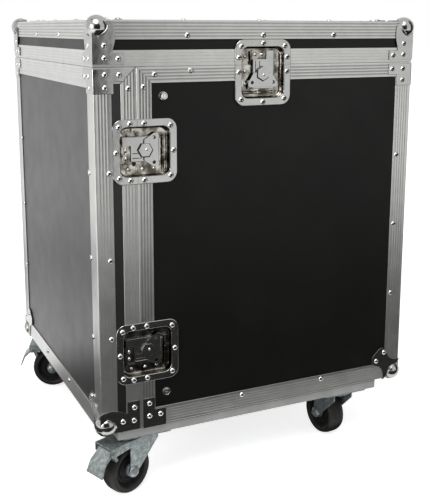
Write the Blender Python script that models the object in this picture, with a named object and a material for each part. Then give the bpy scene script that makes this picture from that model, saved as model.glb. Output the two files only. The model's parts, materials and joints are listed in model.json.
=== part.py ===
"""Flight case on castors: a 19 inch rack body with a mixer bay under a lift-off top lid.

Metres, +Z up. The origin is on the floor under the middle of the object. The front lid faces -Y.
Everything above the castors is modelled in the case frame, whose zero is the centre of the case's
underside, and an empty carries that frame to its place above the floor.
"""
import math

import bmesh
import bpy
from mathutils import Matrix, Vector

# Outer case
CASE_WIDTH = 0.530
CASE_DEPTH = 0.575
BODY_HEIGHT = 0.580
TOP_LID_HEIGHT = 0.0695
FRONT_LID_DEPTH = 0.0675

# Sheet stock and clearances
PLY = 0.009
GAP = 0.0003
LID_GAP = 0.0004
EDGE_SKIN = 0.0015
STEEL_PLATE = 0.0012

# Double angle edging
ANGLE_TOP_FLANGE = 0.030
ANGLE_LID_SIDE = 0.029
ANGLE_BODY_SIDE = 0.0305
ANGLE_FRONT_FACE = 0.0315
ANGLE_FRONT_SIDE = 0.028
RIB_PITCH = 0.0068
RIB_DEPTH = 0.0005
RIB_WIDTH = 0.0018

# Hybrid edging with a groove on the body and a tongue on the lids
SEAM_FLANGE = 0.0245
SEAM_INNER_FLANGE = 0.016
GROOVE_DEPTH = 0.008
GROOVE_WEB = 0.0015
TONGUE_HEIGHT = 0.0065
TONGUE_CLEARANCE = 0.0012
TONGUE_WEB = 0.002

# Corner hardware
BALL_RADIUS = 0.020
BALL_INSET = 0.011
LEG_WIDTH = 0.031
LEG_SHOULDER = 0.035
BRANCH_LENGTH = 0.048
BRANCH_HEIGHT = 0.0155
BRACE_LEG = 0.0395
BRACE_SEAM_OFFSET = 0.0025
BRACE_BRANCH_DROP = 0.021
FOOT_BRACE_HEIGHT = 0.049
FOOT_BRACE_WIDTH = 0.0205
FOOT_BRACE_LENGTH = 0.0395
FOOT_BRACE_LOW = 0.0285
FOOT_ARCH_RADIUS = 0.050
FOOT_ARCH_IN = 0.016
FOOT_ARCH_BELOW = 0.012
LID_LEG_CLEARANCE = 0.0045
LEG_TOP = 0.003
LEG_SWELL = (0.010, 0.027, 0.044)
PAW_REACH = 0.0515
PAW_LOBE = 0.0095
PAW_START = 0.034
PAW_SHARES = ((0.73, 0.37), (0.89, 0.55), (1.07, 0.61))
RIVET_SHANK = 0.002
BRACE_RIVET = (0.019, 0.011)
FOOT_BRACE_RIVET = (0.030, 0.0195)

# Recessed butterfly latch, seam across its middle
LATCH_WIDTH = 0.100
LATCH_BODY_REACH = 0.065
LATCH_STRIKE_REACH = 0.040
LATCH_CORNER = 0.016
WELL_WIDTH = 0.076
WELL_BODY_REACH = 0.052
WELL_STRIKE_REACH = 0.027
WELL_CORNER = 0.008
WELL_DEPTH = 0.009
HUB_X = 0.002
HUB_BELOW_SEAM = 0.014
HUB_RADIUS = 0.0115
HUB_PIN = 0.004
SPRING_BAR = 0.002
HUB_TOP_BELOW_FACE = 0.0014
WING_HALF_WIDTH = 0.026
WING_LENGTH = 0.022
WING_THICKNESS = 0.0015
PIN_BORE_DEPTH = 0.0015
BASE_RISE = 0.0018
HOOK_THICKNESS = 0.0014
HOOK_TRAVEL = 0.004
TOP_LATCH_Y = -0.005
FRONT_LATCH_FROM_END = 0.1285

# Rack and mixer rails, 19 inch system
RACK_UNIT = 0.04445
RAIL_FLANGE = 0.0294
HOLE_INSET = 0.00805
HOLE_SIZE = 0.0095
FIRST_HOLE = 0.00635
HOLE_STEP = 0.015875
SLOT_WIDTH = 0.007
SLOT_END = 0.012
RAIL_THICKNESS = 0.002
RAIL_CLEARANCE = 0.001
RACK_RAIL_SETBACK = 0.029
RACK_RAIL_LEG = 0.030
MIXER_RAIL_LEG = 0.015
MIXER_RAIL_DROP = 0.019
MIXER_RAIL_FRONT = 0.020

# Castor board and castors
BOARD_THICKNESS = 0.015
BOARD_SIDE_INSET = 0.005
BOARD_FRONT_INSET = 0.029
BOARD_REAR_INSET = 0.0475
PACKING_INSET = 0.066
CASTOR_HEIGHT = 0.1015
WHEEL_RADIUS = 0.041
WHEEL_WIDTH = 0.032
CASTOR_TRAIL = 0.034
CROWN_RADIUS = 0.0265
FORK_BACK = 0.020
FORK_SHOULDER = 0.012
FORK_NOSE = 0.006
FORK_BOSS = 0.009
AXLE_END = 0.004
CASTOR_SIDE_INSET = 0.039
CASTOR_FRONT_INSET = 0.080
CASTOR_REAR_INSET = 0.1085
CASTOR_PLATE_LENGTH = 0.092
CASTOR_PLATE_WIDTH = 0.066
CASTOR_PLATE = 0.0025
RACE_RADIUS = 0.027
RACE_HEIGHT = 0.0035
FORK_SHEET = 0.0025
FORK_INNER = 0.0375
AXLE_RADIUS = 0.004
KINGPIN_RADIUS = 0.006
FRONT_HEADING = 21.0
REAR_HEADING = 5.5
BRAKE_REACH = 0.080
BRAKE_HINGE_BACK = 0.006
BRAKE_HINGE_DROP = 0.010
PEDAL_RUN = 0.026
PEDAL_FALL = 0.034
PEDAL_WIDTH = 0.032
PEDAL_TIP_WIDTH = 0.041
PEDAL_PIN = 0.0025
SHOE_TURNS = (234, 251)

# Values that follow from the sizes above
HALF_W = CASE_WIDTH / 2
HALF_D = CASE_DEPTH / 2
SEAM_Y = -HALF_D + FRONT_LID_DEPTH
SEAM_Z = BODY_HEIGHT
LID_TOP = BODY_HEIGHT + TOP_LID_HEIGHT
PLY_OUT = EDGE_SKIN + GAP
PLY_IN = PLY_OUT + PLY
INNER_FLANGE = PLY_IN + GAP
INNER_FACE = INNER_FLANGE + EDGE_SKIN
GROOVE_PLY_EDGE = GROOVE_DEPTH + GROOVE_WEB + GAP
TONGUE_PLY_EDGE = TONGUE_WEB + GAP
BOARD_TOP = -(GAP + STEEL_PLATE + GAP)
BOARD_BOTTOM = BOARD_TOP - BOARD_THICKNESS
FLOOR = BOARD_BOTTOM - CASTOR_HEIGHT
CROWN_TOP = CASTOR_HEIGHT - CASTOR_PLATE - RACE_HEIGHT - GAP
CASTOR_X = HALF_W - CASTOR_SIDE_INSET
CASTOR_FRONT_Y = -HALF_D + CASTOR_FRONT_INSET
CASTOR_REAR_Y = HALF_D - CASTOR_REAR_INSET
HINGE_S = BRAKE_REACH - BRAKE_HINGE_BACK
HINGE_Z = CROWN_TOP - BRAKE_HINGE_DROP
SHOE_REACH = math.hypot(HINGE_S - CASTOR_TRAIL, HINGE_Z - WHEEL_RADIUS) - WHEEL_RADIUS - GAP
PEDAL_REACH = (HINGE_S + PEDAL_RUN) * math.cos(math.radians(FRONT_HEADING))
PEDAL_REACH += PEDAL_TIP_WIDTH / 2 * math.sin(math.radians(FRONT_HEADING))
PLY_CUT = PLY_IN + PLY
EDGE_CUT = INNER_FLANGE - GAP
RAIL_OUTER = HALF_W - PLY_IN - GAP
RAIL_INNER_WIDTH = 2 * (RAIL_OUTER - RAIL_FLANGE)
HOLE_CENTRES = RAIL_INNER_WIDTH + 2 * HOLE_INSET
RACK_ROOM = SEAM_Z - MIXER_RAIL_DROP - MIXER_RAIL_LEG - RAIL_CLEARANCE - PLY_IN - GAP
RACK_UNITS = int(RACK_ROOM / RACK_UNIT)
MIXER_ROOM = HALF_D - PLY_IN - RAIL_CLEARANCE - SEAM_Y - MIXER_RAIL_FRONT
MIXER_UNITS = int(MIXER_ROOM / RACK_UNIT)
FRONT_REACH = max(PEDAL_REACH - CASTOR_FRONT_Y, HALF_D + BALL_RADIUS - BALL_INSET)
REAR_REACH = HALF_D + BALL_RADIUS - BALL_INSET
CASE_SHIFT = (FRONT_REACH - REAR_REACH) / 2
WELL_WALL = STEEL_PLATE
LATCH_FLANGE_TOP = GAP + STEEL_PLATE
CORNER_SIGNS = ((1, 1), (-1, 1), (-1, -1), (1, -1))


def clear_scene():
    for obj in list(bpy.data.objects):
        bpy.data.objects.remove(obj, do_unlink=True)


def finish_material(name, colour, roughness, metallic):
    mat = bpy.data.materials.new(name)
    mat.use_nodes = True
    shader = mat.node_tree.nodes["Principled BSDF"]
    shader.inputs["Base Color"].default_value = (*colour, 1.0)
    shader.inputs["Roughness"].default_value = roughness
    shader.inputs["Metallic"].default_value = metallic
    mat.diffuse_color = (*colour, 1.0)
    return mat


def to_mesh(bm, name):
    bmesh.ops.recalc_face_normals(bm, faces=bm.faces)
    mesh = bpy.data.meshes.new(name)
    bm.to_mesh(mesh)
    bm.free()
    return mesh


def box(lo, hi):
    """Box between two opposite corners, given in any order."""
    bm = bmesh.new()
    bmesh.ops.create_cube(bm, size=1.0)
    low = Vector(min(a, b) for a, b in zip(lo, hi))
    high = Vector(max(a, b) for a, b in zip(lo, hi))
    bmesh.ops.scale(bm, vec=high - low, verts=bm.verts)
    bmesh.ops.translate(bm, vec=(low + high) / 2, verts=bm.verts)
    return to_mesh(bm, "box")


def prism(outline, bottom, top, holes=()):
    """Flat outline in XY, with holes, raised from bottom to top along Z."""
    bm = bmesh.new()
    edges = []
    for loop in (outline, *holes):
        verts = [bm.verts.new((x, y, bottom)) for x, y in loop]
        edges += [bm.edges.new(pair) for pair in zip(verts, verts[1:] + verts[:1])]
    bmesh.ops.triangle_fill(bm, use_beauty=True, use_dissolve=False, edges=edges)
    raised = bmesh.ops.extrude_face_region(bm, geom=bm.faces[:])
    verts = [item for item in raised["geom"] if isinstance(item, bmesh.types.BMVert)]
    bmesh.ops.translate(bm, vec=(0, 0, top - bottom), verts=verts)
    return to_mesh(bm, "prism")


def cylinder(radius, bottom, top, sides, centre=(0.0, 0.0)):
    outline = [
        (centre[0] + radius * math.cos(turn), centre[1] + radius * math.sin(turn))
        for turn in (math.tau * step / sides for step in range(sides))
    ]
    return prism(outline, bottom, top)


def ball(centre, radius, across, rings):
    bm = bmesh.new()
    bmesh.ops.create_uvsphere(bm, u_segments=across, v_segments=rings, radius=radius)
    bmesh.ops.translate(bm, vec=centre, verts=bm.verts)
    return to_mesh(bm, "ball")


def turned(profile, steps):
    """Closed profile of (radius, along) points spun about the Y axis."""
    bm = bmesh.new()
    verts = [bm.verts.new((radius, along, 0.0)) for radius, along in profile]
    edges = [bm.edges.new(pair) for pair in zip(verts, verts[1:] + verts[:1])]
    bmesh.ops.spin(bm, geom=verts + edges, cent=(0, 0, 0), axis=(0, 1, 0),
                   angle=math.tau, steps=steps, use_merge=True)
    bmesh.ops.remove_doubles(bm, verts=bm.verts, dist=1e-6)
    return to_mesh(bm, "turned")


def swept(path, plane_normal, across, profile, closed=False, mitre=0.0):
    """Profile of (inward, across) points carried along straight legs with square mitred corners.

    Inward points into the loop that the path goes round, across is square to the loop's plane.
    With mitre 1 both open ends are cut at 45 degrees, shorter as the profile goes across.
    """
    points = [Vector(p) for p in path]
    normal, across = Vector(plane_normal), Vector(across)
    count = len(points)
    legs = [(points[(i + 1) % count] - points[i]).normalized() for i in range(count if closed else count - 1)]
    inward = [normal.cross(leg) for leg in legs]
    bm = bmesh.new()
    rings = []
    for i, point in enumerate(points):
        before, after = inward[i - 1], inward[i % len(inward)]
        at_start, at_end = i == 0 and not closed, i == count - 1 and not closed
        ring = []
        for u, w in profile:
            if at_start:
                place = point + after * u + legs[0] * (w * mitre)
            elif at_end:
                place = point + before * u - legs[-1] * (w * mitre)
            else:
                place = point + (before + after) * u
            ring.append(bm.verts.new(place + across * w))
        rings.append(ring)
    pairs = list(zip(rings, rings[1:]))
    if closed:
        pairs.append((rings[-1], rings[0]))
    for first, second in pairs:
        for i in range(len(profile)):
            j = (i + 1) % len(profile)
            bm.faces.new((first[i], first[j], second[j], second[i]))
    if not closed:
        bm.faces.new(rings[0])
        bm.faces.new(rings[-1])
    return to_mesh(bm, "swept")


def placed(mesh, matrix):
    """The mesh moved by the matrix, turned right side out again after a mirror."""
    mesh.transform(matrix)
    if matrix.determinant() < 0:
        mesh.flip_normals()
    return mesh


def joined(meshes):
    """Separate shells in one mesh, for a cutter with several blocks."""
    bm = bmesh.new()
    for mesh in meshes:
        bm.from_mesh(mesh)
    return to_mesh(bm, "joined")


def combined(base, *steps):
    """Base mesh after a row of exact booleans, each given as (operation, mesh)."""
    made = []
    body = bpy.data.objects.new("work_body", base)
    made.append(body)
    bpy.context.collection.objects.link(body)
    for operation, mesh in steps:
        tool = bpy.data.objects.new("work_tool", mesh)
        made.append(tool)
        bpy.context.collection.objects.link(tool)
        step = body.modifiers.new("step", "BOOLEAN")
        step.operation = operation
        step.solver = "EXACT"
        step.object = tool
    shapes = bpy.context.evaluated_depsgraph_get()
    result = bpy.data.meshes.new_from_object(body.evaluated_get(shapes))
    for obj in made:
        bpy.data.objects.remove(obj, do_unlink=True)
    result.materials.clear()
    return result


def arc(cx, cy, radius, start, end, steps):
    """Points on an arc, angles in degrees."""
    turns = [math.radians(start + (end - start) * i / steps) for i in range(steps + 1)]
    return [(cx + radius * math.cos(t), cy + radius * math.sin(t)) for t in turns]


def rounded(x0, y0, x1, y1, radii, steps=3):
    """Rectangle outline, with radii for its corners from the lower left, going anticlockwise."""
    corners = ((x0, y0, 1, 1, 180), (x1, y0, -1, 1, 270), (x1, y1, -1, -1, 0), (x0, y1, 1, -1, 90))
    outline = []
    for (x, y, sx, sy, start), radius in zip(corners, radii):
        if radius:
            outline += arc(x + sx * radius, y + sy * radius, radius, start, start + 90, steps)
        else:
            outline.append((x, y))
    return outline


def add_piece(name, mesh, finish, parent, matrix=None, smooth=None):
    """One named piece of the object, hung on its parent and set by its own matrix."""
    mesh.name = name
    if not mesh.materials:
        mesh.materials.append(finish)
    if smooth:
        mesh.shade_smooth()
        mesh.set_sharp_from_angle(angle=math.radians(smooth))
    obj = bpy.data.objects.new(name, mesh)
    bpy.context.collection.objects.link(obj)
    obj.parent = parent
    if matrix is not None:
        obj.matrix_local = matrix
    return obj


def add_frame(name, parent=None, matrix=None):
    obj = bpy.data.objects.new(name, None)
    bpy.context.collection.objects.link(obj)
    obj.parent = parent
    if matrix is not None:
        obj.matrix_local = matrix
    return obj


def ribbed_face(length):
    """Distances and depths of the shallow ribs along a flange of this length."""
    ribs = int((length - RIB_PITCH) / RIB_PITCH)
    margin = (length - (ribs - 1) * RIB_PITCH) / 2
    points = []
    for i in range(ribs):
        middle = margin + i * RIB_PITCH
        points += [(middle - RIB_WIDTH / 2, 0.0), (middle, RIB_DEPTH), (middle + RIB_WIDTH / 2, 0.0)]
    return points


def angle_profile(inward_flange, across_flange):
    """Double angle edging, corner at zero, ribs on both outer faces."""
    outer = [(inward_flange, EDGE_SKIN), (inward_flange, 0.0)]
    outer += [(along, depth) for along, depth in reversed(ribbed_face(inward_flange))]
    outer += [(EDGE_SKIN, 0.0), (0.0, EDGE_SKIN)]
    outer += [(depth, along) for along, depth in ribbed_face(across_flange)]
    return outer + [(0.0, across_flange), (EDGE_SKIN, across_flange), (EDGE_SKIN, EDGE_SKIN)]


def seam_flange():
    """Outer ribbed face of the hybrid edging, from the seam outwards."""
    points = [(depth, along) for along, depth in ribbed_face(SEAM_FLANGE)]
    return [(0.0, 0.0)] + points + [(0.0, SEAM_FLANGE), (EDGE_SKIN, SEAM_FLANGE)]


def groove_profile():
    """Hybrid edging of the body: holds the ply edge and takes the lid's tongue."""
    floor, ply_edge = GROOVE_DEPTH, GROOVE_DEPTH + GROOVE_WEB
    return seam_flange() + [
        (EDGE_SKIN, ply_edge), (INNER_FLANGE, ply_edge), (INNER_FLANGE, SEAM_INNER_FLANGE),
        (INNER_FACE, SEAM_INNER_FLANGE), (INNER_FACE, 0.0), (INNER_FLANGE, 0.0),
        (INNER_FLANGE, floor), (EDGE_SKIN, floor), (EDGE_SKIN, 0.0),
    ]


def butt_profile():
    """Hybrid edging with a plain closed edge."""
    return seam_flange() + [
        (EDGE_SKIN, TONGUE_WEB), (INNER_FLANGE, TONGUE_WEB), (INNER_FLANGE, SEAM_INNER_FLANGE),
        (INNER_FACE, SEAM_INNER_FLANGE), (INNER_FACE, 0.0),
    ]


def tongue_strip():
    """Section of the tongue alone, with its root sunk in the web."""
    near, far = EDGE_SKIN + TONGUE_CLEARANCE, INNER_FLANGE - TONGUE_CLEARANCE
    chamfer = TONGUE_HEIGHT / 4
    return [(near, TONGUE_WEB / 2), (near, chamfer - TONGUE_HEIGHT), (near + chamfer, -TONGUE_HEIGHT),
            (far - chamfer, -TONGUE_HEIGHT), (far, chamfer - TONGUE_HEIGHT), (far, TONGUE_WEB / 2)]


def latch_frames():
    """Place and turn of each latch: name, lid it closes, matrix of its seam centre."""
    frames = []
    for side, sx in (("left", -1), ("right", 1)):
        out = Vector((sx, 0, 0))
        spots = [("top", "top_lid", Vector((0, 0, 1)), Vector((sx * HALF_W, TOP_LATCH_Y, SEAM_Z)))]
        for level, z in (("upper", BODY_HEIGHT - FRONT_LATCH_FROM_END), ("lower", FRONT_LATCH_FROM_END)):
            spots.append((level, "front_lid", Vector((0, -1, 0)), Vector((sx * HALF_W, SEAM_Y, z))))
        for level, lid, toward, centre in spots:
            turn = Matrix((toward.cross(out), toward, out)).transposed().to_4x4()
            frames.append((f"{level}_{side}", lid, Matrix.Translation(centre) @ turn))
    return frames


def well_clearances(depth, lid=None):
    """Blocks cut out for the wells of the latches, of one lid or of both, to this depth."""
    half = WELL_WIDTH / 2 + WELL_WALL + GAP
    low = (-half, -WELL_BODY_REACH - WELL_WALL - GAP, -depth)
    high = (half, WELL_STRIKE_REACH + WELL_WALL + GAP, STEEL_PLATE)
    return joined([placed(box(low, high), matrix) for name, of_lid, matrix in latch_frames() if lid in (None, of_lid)])


def dish_half(reach, well_reach, direction):
    """One half of a latch dish: rounded flange, pressed well, open along the seam."""
    half, well = LATCH_WIDTH / 2, WELL_WIDTH / 2
    seam = LID_GAP / 2
    flange = rounded(-half, seam, half, reach, (0, 0, LATCH_CORNER, LATCH_CORNER))
    shell = rounded(-well - WELL_WALL, seam, well + WELL_WALL, well_reach + WELL_WALL,
                    (0, 0, WELL_CORNER + WELL_WALL, WELL_CORNER + WELL_WALL), 2)
    pocket = rounded(-well, -reach, well, well_reach, (0, 0, WELL_CORNER, WELL_CORNER), 2)
    dish = combined(
        prism(flange, GAP, LATCH_FLANGE_TOP),
        ("UNION", prism(shell, -WELL_DEPTH - WELL_WALL, GAP + STEEL_PLATE / 2)),
        ("DIFFERENCE", prism(pocket, -WELL_DEPTH, 2 * LATCH_FLANGE_TOP)),
    )
    return placed(dish, Matrix.Diagonal((1, direction, 1, 1)))


def latch_dish():
    """Body half: the dish with its raised base plate, pin bore and spring bar."""
    floor = -WELL_DEPTH
    base = rounded(-0.017, -0.036, 0.024, -0.002, (0.003,) * 4, 1)
    plate = prism(base, floor - WELL_WALL / 2, floor + BASE_RISE)
    bar = placed(cylinder(SPRING_BAR, -WELL_WIDTH / 2 - WELL_WALL / 2, 0.024, 8),
                 Matrix.Translation((0, -0.0445, floor + SPRING_BAR * 0.8)) @ Matrix.Rotation(math.pi / 2, 4, "Y"))
    bore = cylinder(HUB_PIN + GAP, floor + BASE_RISE - PIN_BORE_DEPTH, 0.0, 10, (HUB_X, -HUB_BELOW_SEAM))
    return combined(dish_half(LATCH_BODY_REACH, WELL_BODY_REACH, -1),
                    ("UNION", plate), ("UNION", bar), ("DIFFERENCE", bore))


def latch_strike():
    """Lid half: the dish with its raised keeper plate."""
    floor = -WELL_DEPTH
    keeper = rounded(-0.017, 0.010, 0.024, 0.023, (0.002,) * 4, 1)
    return combined(dish_half(LATCH_STRIKE_REACH, WELL_STRIKE_REACH, 1),
                    ("UNION", prism(keeper, floor - WELL_WALL / 2, floor + BASE_RISE)))


def latch_hook():
    """Sliding plate between base and wing, with the slot for the hub's pin."""
    low = -WELL_DEPTH + BASE_RISE + GAP
    reach = WELL_STRIKE_REACH - HOOK_TRAVEL - 0.001
    outline = [(-0.016, -0.030), (0.023, -0.030), (0.023, reach), (0.009, reach), (0.009, 0.0085), (-0.016, 0.0085)]
    pin = HUB_PIN + GAP
    slot = arc(HUB_X, -HUB_BELOW_SEAM, pin, 0, 180, 6)
    slot += arc(HUB_X, -HUB_BELOW_SEAM - HOOK_TRAVEL, pin, 180, 360, 6)
    return prism(outline, low, low + HOOK_THICKNESS, [slot])


def latch_wing():
    """Turning wing with its six sided hub, modelled about the hub's axis."""
    hook_top = -WELL_DEPTH + BASE_RISE + GAP + HOOK_THICKNESS
    low = hook_top + GAP
    top = -HUB_TOP_BELOW_FACE
    half, length = WING_HALF_WIDTH, WING_LENGTH
    blade = [(-0.009, 0.004), (-half + 0.001, -length * 0.55)]
    blade += arc(-half + 0.004, -length + 0.005, 0.005, 180, 262, 2)
    blade += arc(half - 0.004, -length + 0.005, 0.005, 278, 360, 2)
    blade += [(half - 0.001, -length * 0.55), (0.009, 0.004)]
    eyes = [arc(sx * 0.019, -length * 0.66, 0.0023, 0, -300, 5) for sx in (-1, 1)]
    middle = (low + top) / 2
    hub = cylinder(HUB_RADIUS, low, top, 6)
    pin = cylinder(HUB_PIN, -WELL_DEPTH + BASE_RISE - PIN_BORE_DEPTH + GAP, middle, 10)
    return combined(prism(blade, middle - WING_THICKNESS / 2, middle + WING_THICKNESS / 2, eyes),
                    ("UNION", placed(hub, Matrix.Rotation(math.pi / 6, 4, "Z"))), ("UNION", pin))


def make_latches(case, steel):
    """Six latches, each with a dish, a strike, a turning wing and a sliding hook."""
    dish, strike, hook, wing = latch_dish(), latch_strike(), latch_hook(), latch_wing()
    hub = Matrix.Translation((HUB_X, -HUB_BELOW_SEAM, 0))
    for name, lid, matrix in latch_frames():
        add_piece(f"latch_dish_{name}", dish, steel, case, matrix)
        add_piece(f"latch_strike_{name}", strike, steel, case, matrix)
        add_piece(f"latch_hook_{name}", hook, steel, case, matrix)
        add_piece(f"latch_wing_{name}", wing, steel, case, matrix @ hub)


def make_body_panels(case, ply):
    """Four ply panels: two sides, the rear and the bottom. The front and the top are open."""
    front = SEAM_Y + GROOVE_PLY_EDGE
    top = SEAM_Z - GROOVE_PLY_EDGE
    rear_face = HALF_D - PLY_OUT
    for side, sx in (("left", -1), ("right", 1)):
        panel = box((sx * (HALF_W - PLY_OUT), front, PLY_OUT), (sx * (HALF_W - PLY_IN), rear_face, top))
        add_piece(f"side_panel_{side}", combined(panel, ("DIFFERENCE", well_clearances(PLY_CUT))), ply, case)
    half = HALF_W - PLY_IN - GAP
    add_piece("rear_panel", box((-half, rear_face - PLY, PLY_OUT), (half, rear_face, top)), ply, case)
    bottom = box((-half, front, PLY_OUT), (half, rear_face - PLY - GAP, PLY_IN))
    add_piece("bottom_panel", bottom, ply, case)


def corner_brace(sx, sy):
    """Bent brace under the seam: a branch along it and a leg down the corner, on two faces."""
    out = GAP + STEEL_PLATE
    outline = [(-out, BRACE_SEAM_OFFSET), (BRANCH_LENGTH, BRACE_SEAM_OFFSET), (BRANCH_LENGTH, BRACE_BRANCH_DROP),
               (LEG_WIDTH, BRACE_BRANCH_DROP), (LEG_WIDTH, BRACE_LEG), (-out, BRACE_LEG)]
    corner = Vector((sx * HALF_W, sy * HALF_D, SEAM_Z))
    side_turn = Matrix(((0, 0, sx, 0), (-sy, 0, 0, 0), (0, -1, 0, 0), (0, 0, 0, 1)))
    end_turn = Matrix(((-sx, 0, 0, 0), (0, 0, sy, 0), (0, -1, 0, 0), (0, 0, 0, 1)))
    place = Matrix.Translation(corner)
    plates, rivets = [], []
    for turn in (side_turn, end_turn):
        plates.append(placed(prism(outline, GAP, out), place @ turn))
        rivets.append(placed(cylinder(RIVET_SHANK, -EDGE_SKIN / 2, out - GAP, 6, BRACE_RIVET), place @ turn))
    return plates, rivets


def foot_brace(sx):
    """Flat L brace over the foot of the front opening's edging, riveted to the bottom edging."""
    low = -GAP - STEEL_PLATE
    width, length = FOOT_BRACE_WIDTH, FOOT_BRACE_LENGTH
    outline = [(0, low), (length, low), (length, FOOT_BRACE_LOW), (width, FOOT_BRACE_LOW),
               (width, FOOT_BRACE_HEIGHT), (0, FOOT_BRACE_HEIGHT)]
    corner = Matrix.Translation((sx * HALF_W, SEAM_Y + BRACE_SEAM_OFFSET, 0))
    turn = corner @ Matrix(((0, 0, sx, 0), (1, 0, 0, 0), (0, 1, 0, 0), (0, 0, 0, 1)))
    plate = placed(prism(outline, GAP, GAP + STEEL_PLATE), turn)
    rivet = placed(cylinder(RIVET_SHANK, -EDGE_SKIN / 2, STEEL_PLATE, 6, FOOT_BRACE_RIVET), turn)
    return [plate], [rivet]


def add_braces(mesh, braces):
    """Braces riveted on: each rivet shank reaches into the edging, each plate rides on its rivets."""
    steps = []
    for plates, rivets in braces:
        steps.append(("UNION", joined(rivets)))
        steps += [("UNION", plate) for plate in plates]
    return combined(mesh, *steps)


def make_body_edging(case, aluminium):
    """Ribbed aluminium edging of the body."""
    w, d = HALF_W, HALF_D
    front = SEAM_Y + SEAM_FLANGE + GAP
    corners = [(w, d), (-w, d)]
    up, down = (0, 0, 1), (0, 0, -1)

    bottom_path = [(w, front, 0), (w, d, 0), (-w, d, 0), (-w, front, 0)]
    bottom = swept(bottom_path, up, up, angle_profile(ANGLE_TOP_FLANGE, ANGLE_BODY_SIDE))
    posts = []
    for x, y in corners:
        sx = 1 if x > 0 else -1
        start, stop = ANGLE_BODY_SIDE - EDGE_SKIN, SEAM_Z - SEAM_FLANGE - GAP
        post = angle_post(start, stop)
        posts.append(("UNION", placed(post, Matrix.Translation((x, y, 0)) @ Matrix.Diagonal((-sx, -1, 1, 1)))))
    feet = [foot_brace(sx) for sx in (1, -1)]
    add_piece("body_edging", add_braces(combined(bottom, *posts), feet), aluminium, case)

    seam_path = [(w, SEAM_Y, SEAM_Z), (w, d, SEAM_Z), (-w, d, SEAM_Z), (-w, SEAM_Y, SEAM_Z)]
    seam = swept(seam_path, up, down, groove_profile(), mitre=1.0)
    seam = combined(seam, ("DIFFERENCE", well_clearances(EDGE_CUT)))
    braces = [corner_brace(sx, 1) for sx in (1, -1)]
    add_piece("body_seam_edging", add_braces(seam, braces), aluminium, case)

    front_path = [(w, SEAM_Y, SEAM_Z), (w, SEAM_Y, 0), (-w, SEAM_Y, 0), (-w, SEAM_Y, SEAM_Z)]
    frame = swept(mitred_ends(front_path), (0, 1, 0), (0, 1, 0), groove_profile(), mitre=1.0)
    frame = combined(frame, ("DIFFERENCE", well_clearances(EDGE_CUT)))
    add_piece("body_front_edging", frame, aluminium, case)


def angle_post(start, stop):
    """Upright piece of double angle edging in the corner of the positive quarter."""
    section = angle_profile(ANGLE_FRONT_FACE, ANGLE_FRONT_FACE)
    return prism(section, start, stop)


def mitred_ends(path):
    """The path with its two ends drawn back by the clearance that a mitre keeps."""
    first, last = Vector(path[0]), Vector(path[-1])
    first += (Vector(path[1]) - first).normalized() * GAP * 2
    last += (Vector(path[-2]) - last).normalized() * GAP * 2
    return [first, *[Vector(p) for p in path[1:-1]], last]


def lid_corner_side():
    """Face of a lid corner, as distances in from the upright edge and down from the lid's top."""
    bottom = TOP_LID_HEIGHT - LID_LEG_CLEARANCE
    branch = bottom - BRANCH_HEIGHT
    out = GAP + STEEL_PLATE
    swell, narrow, straight = LEG_SWELL
    return [(-out, LEG_TOP), (LEG_WIDTH, LEG_TOP), (LEG_SHOULDER, swell), (LEG_SHOULDER, narrow),
            (LEG_WIDTH, straight), (LEG_WIDTH, branch), (BRANCH_LENGTH, branch), (BRANCH_LENGTH, bottom),
            (-out, bottom)]


def paw():
    """Lobed foot of a ball corner, the same on either side of its diagonal."""
    half = [(PAW_START, -GAP - STEEL_PLATE)]
    half += [(far * PAW_REACH, near * PAW_REACH) for far, near in PAW_SHARES]
    lobe = arc(PAW_REACH, PAW_REACH - PAW_LOBE, PAW_LOBE, -20, 45, 2)
    first = half + lobe
    return first + [(y, x) for x, y in reversed(first)]


def ball_corner(faces):
    """Ball corner at the origin of the positive octant, with one outline for each of its faces.

    The case fills the octant, so what lies inside it is taken away and the ball is a hollow cap.
    """
    out = GAP + STEEL_PLATE
    turns = (
        Matrix(((0, 0, -1, 0), (1, 0, 0, 0), (0, 1, 0, 0), (0, 0, 0, 1))),
        Matrix(((1, 0, 0, 0), (0, 0, -1, 0), (0, 1, 0, 0), (0, 0, 0, 1))),
        Matrix(((1, 0, 0, 0), (0, 1, 0, 0), (0, 0, -1, 0), (0, 0, 0, 1))),
    )
    plates = [placed(prism(outline, GAP, out), turn) for outline, turn in zip(faces, turns)]
    cap = ball((BALL_INSET,) * 3, BALL_RADIUS, 16, 8)
    case_block = box((-GAP,) * 3, (2 * PAW_REACH,) * 3)
    return combined(cap, *[("UNION", plate) for plate in plates], ("DIFFERENCE", case_block))


def octant(sx, sy, sz, z):
    """Matrix that takes the positive octant to a corner of the case."""
    return Matrix.Translation((sx * HALF_W, sy * HALF_D, z)) @ Matrix.Diagonal((-sx, -sy, -sz, 1))


def make_corners(case, steel):
    """Ball corners of the lid, of the front lid's foot and of the body's rear foot."""
    side = lid_corner_side()
    lid_mesh = ball_corner((side, side, paw()))
    for place, (sx, sy) in zip(("rear_right", "rear_left", "front_left", "front_right"), CORNER_SIGNS):
        mesh = placed(lid_mesh.copy(), octant(sx, sy, 1, LID_TOP))
        add_piece(f"lid_corner_{place}", mesh, steel, case, smooth=35)

    rear_mesh = ball_corner((paw(), paw(), paw()))
    front_mesh = ball_corner((front_foot_side(), paw(), paw()))
    for place, sx in (("right", 1), ("left", -1)):
        rear = placed(rear_mesh.copy(), octant(sx, 1, -1, 0))
        add_piece(f"body_corner_{place}", rear, steel, case, smooth=35)
        front = placed(front_mesh.copy(), octant(sx, -1, -1, 0))
        add_piece(f"front_lid_corner_{place}", front, steel, case, smooth=35)


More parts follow.
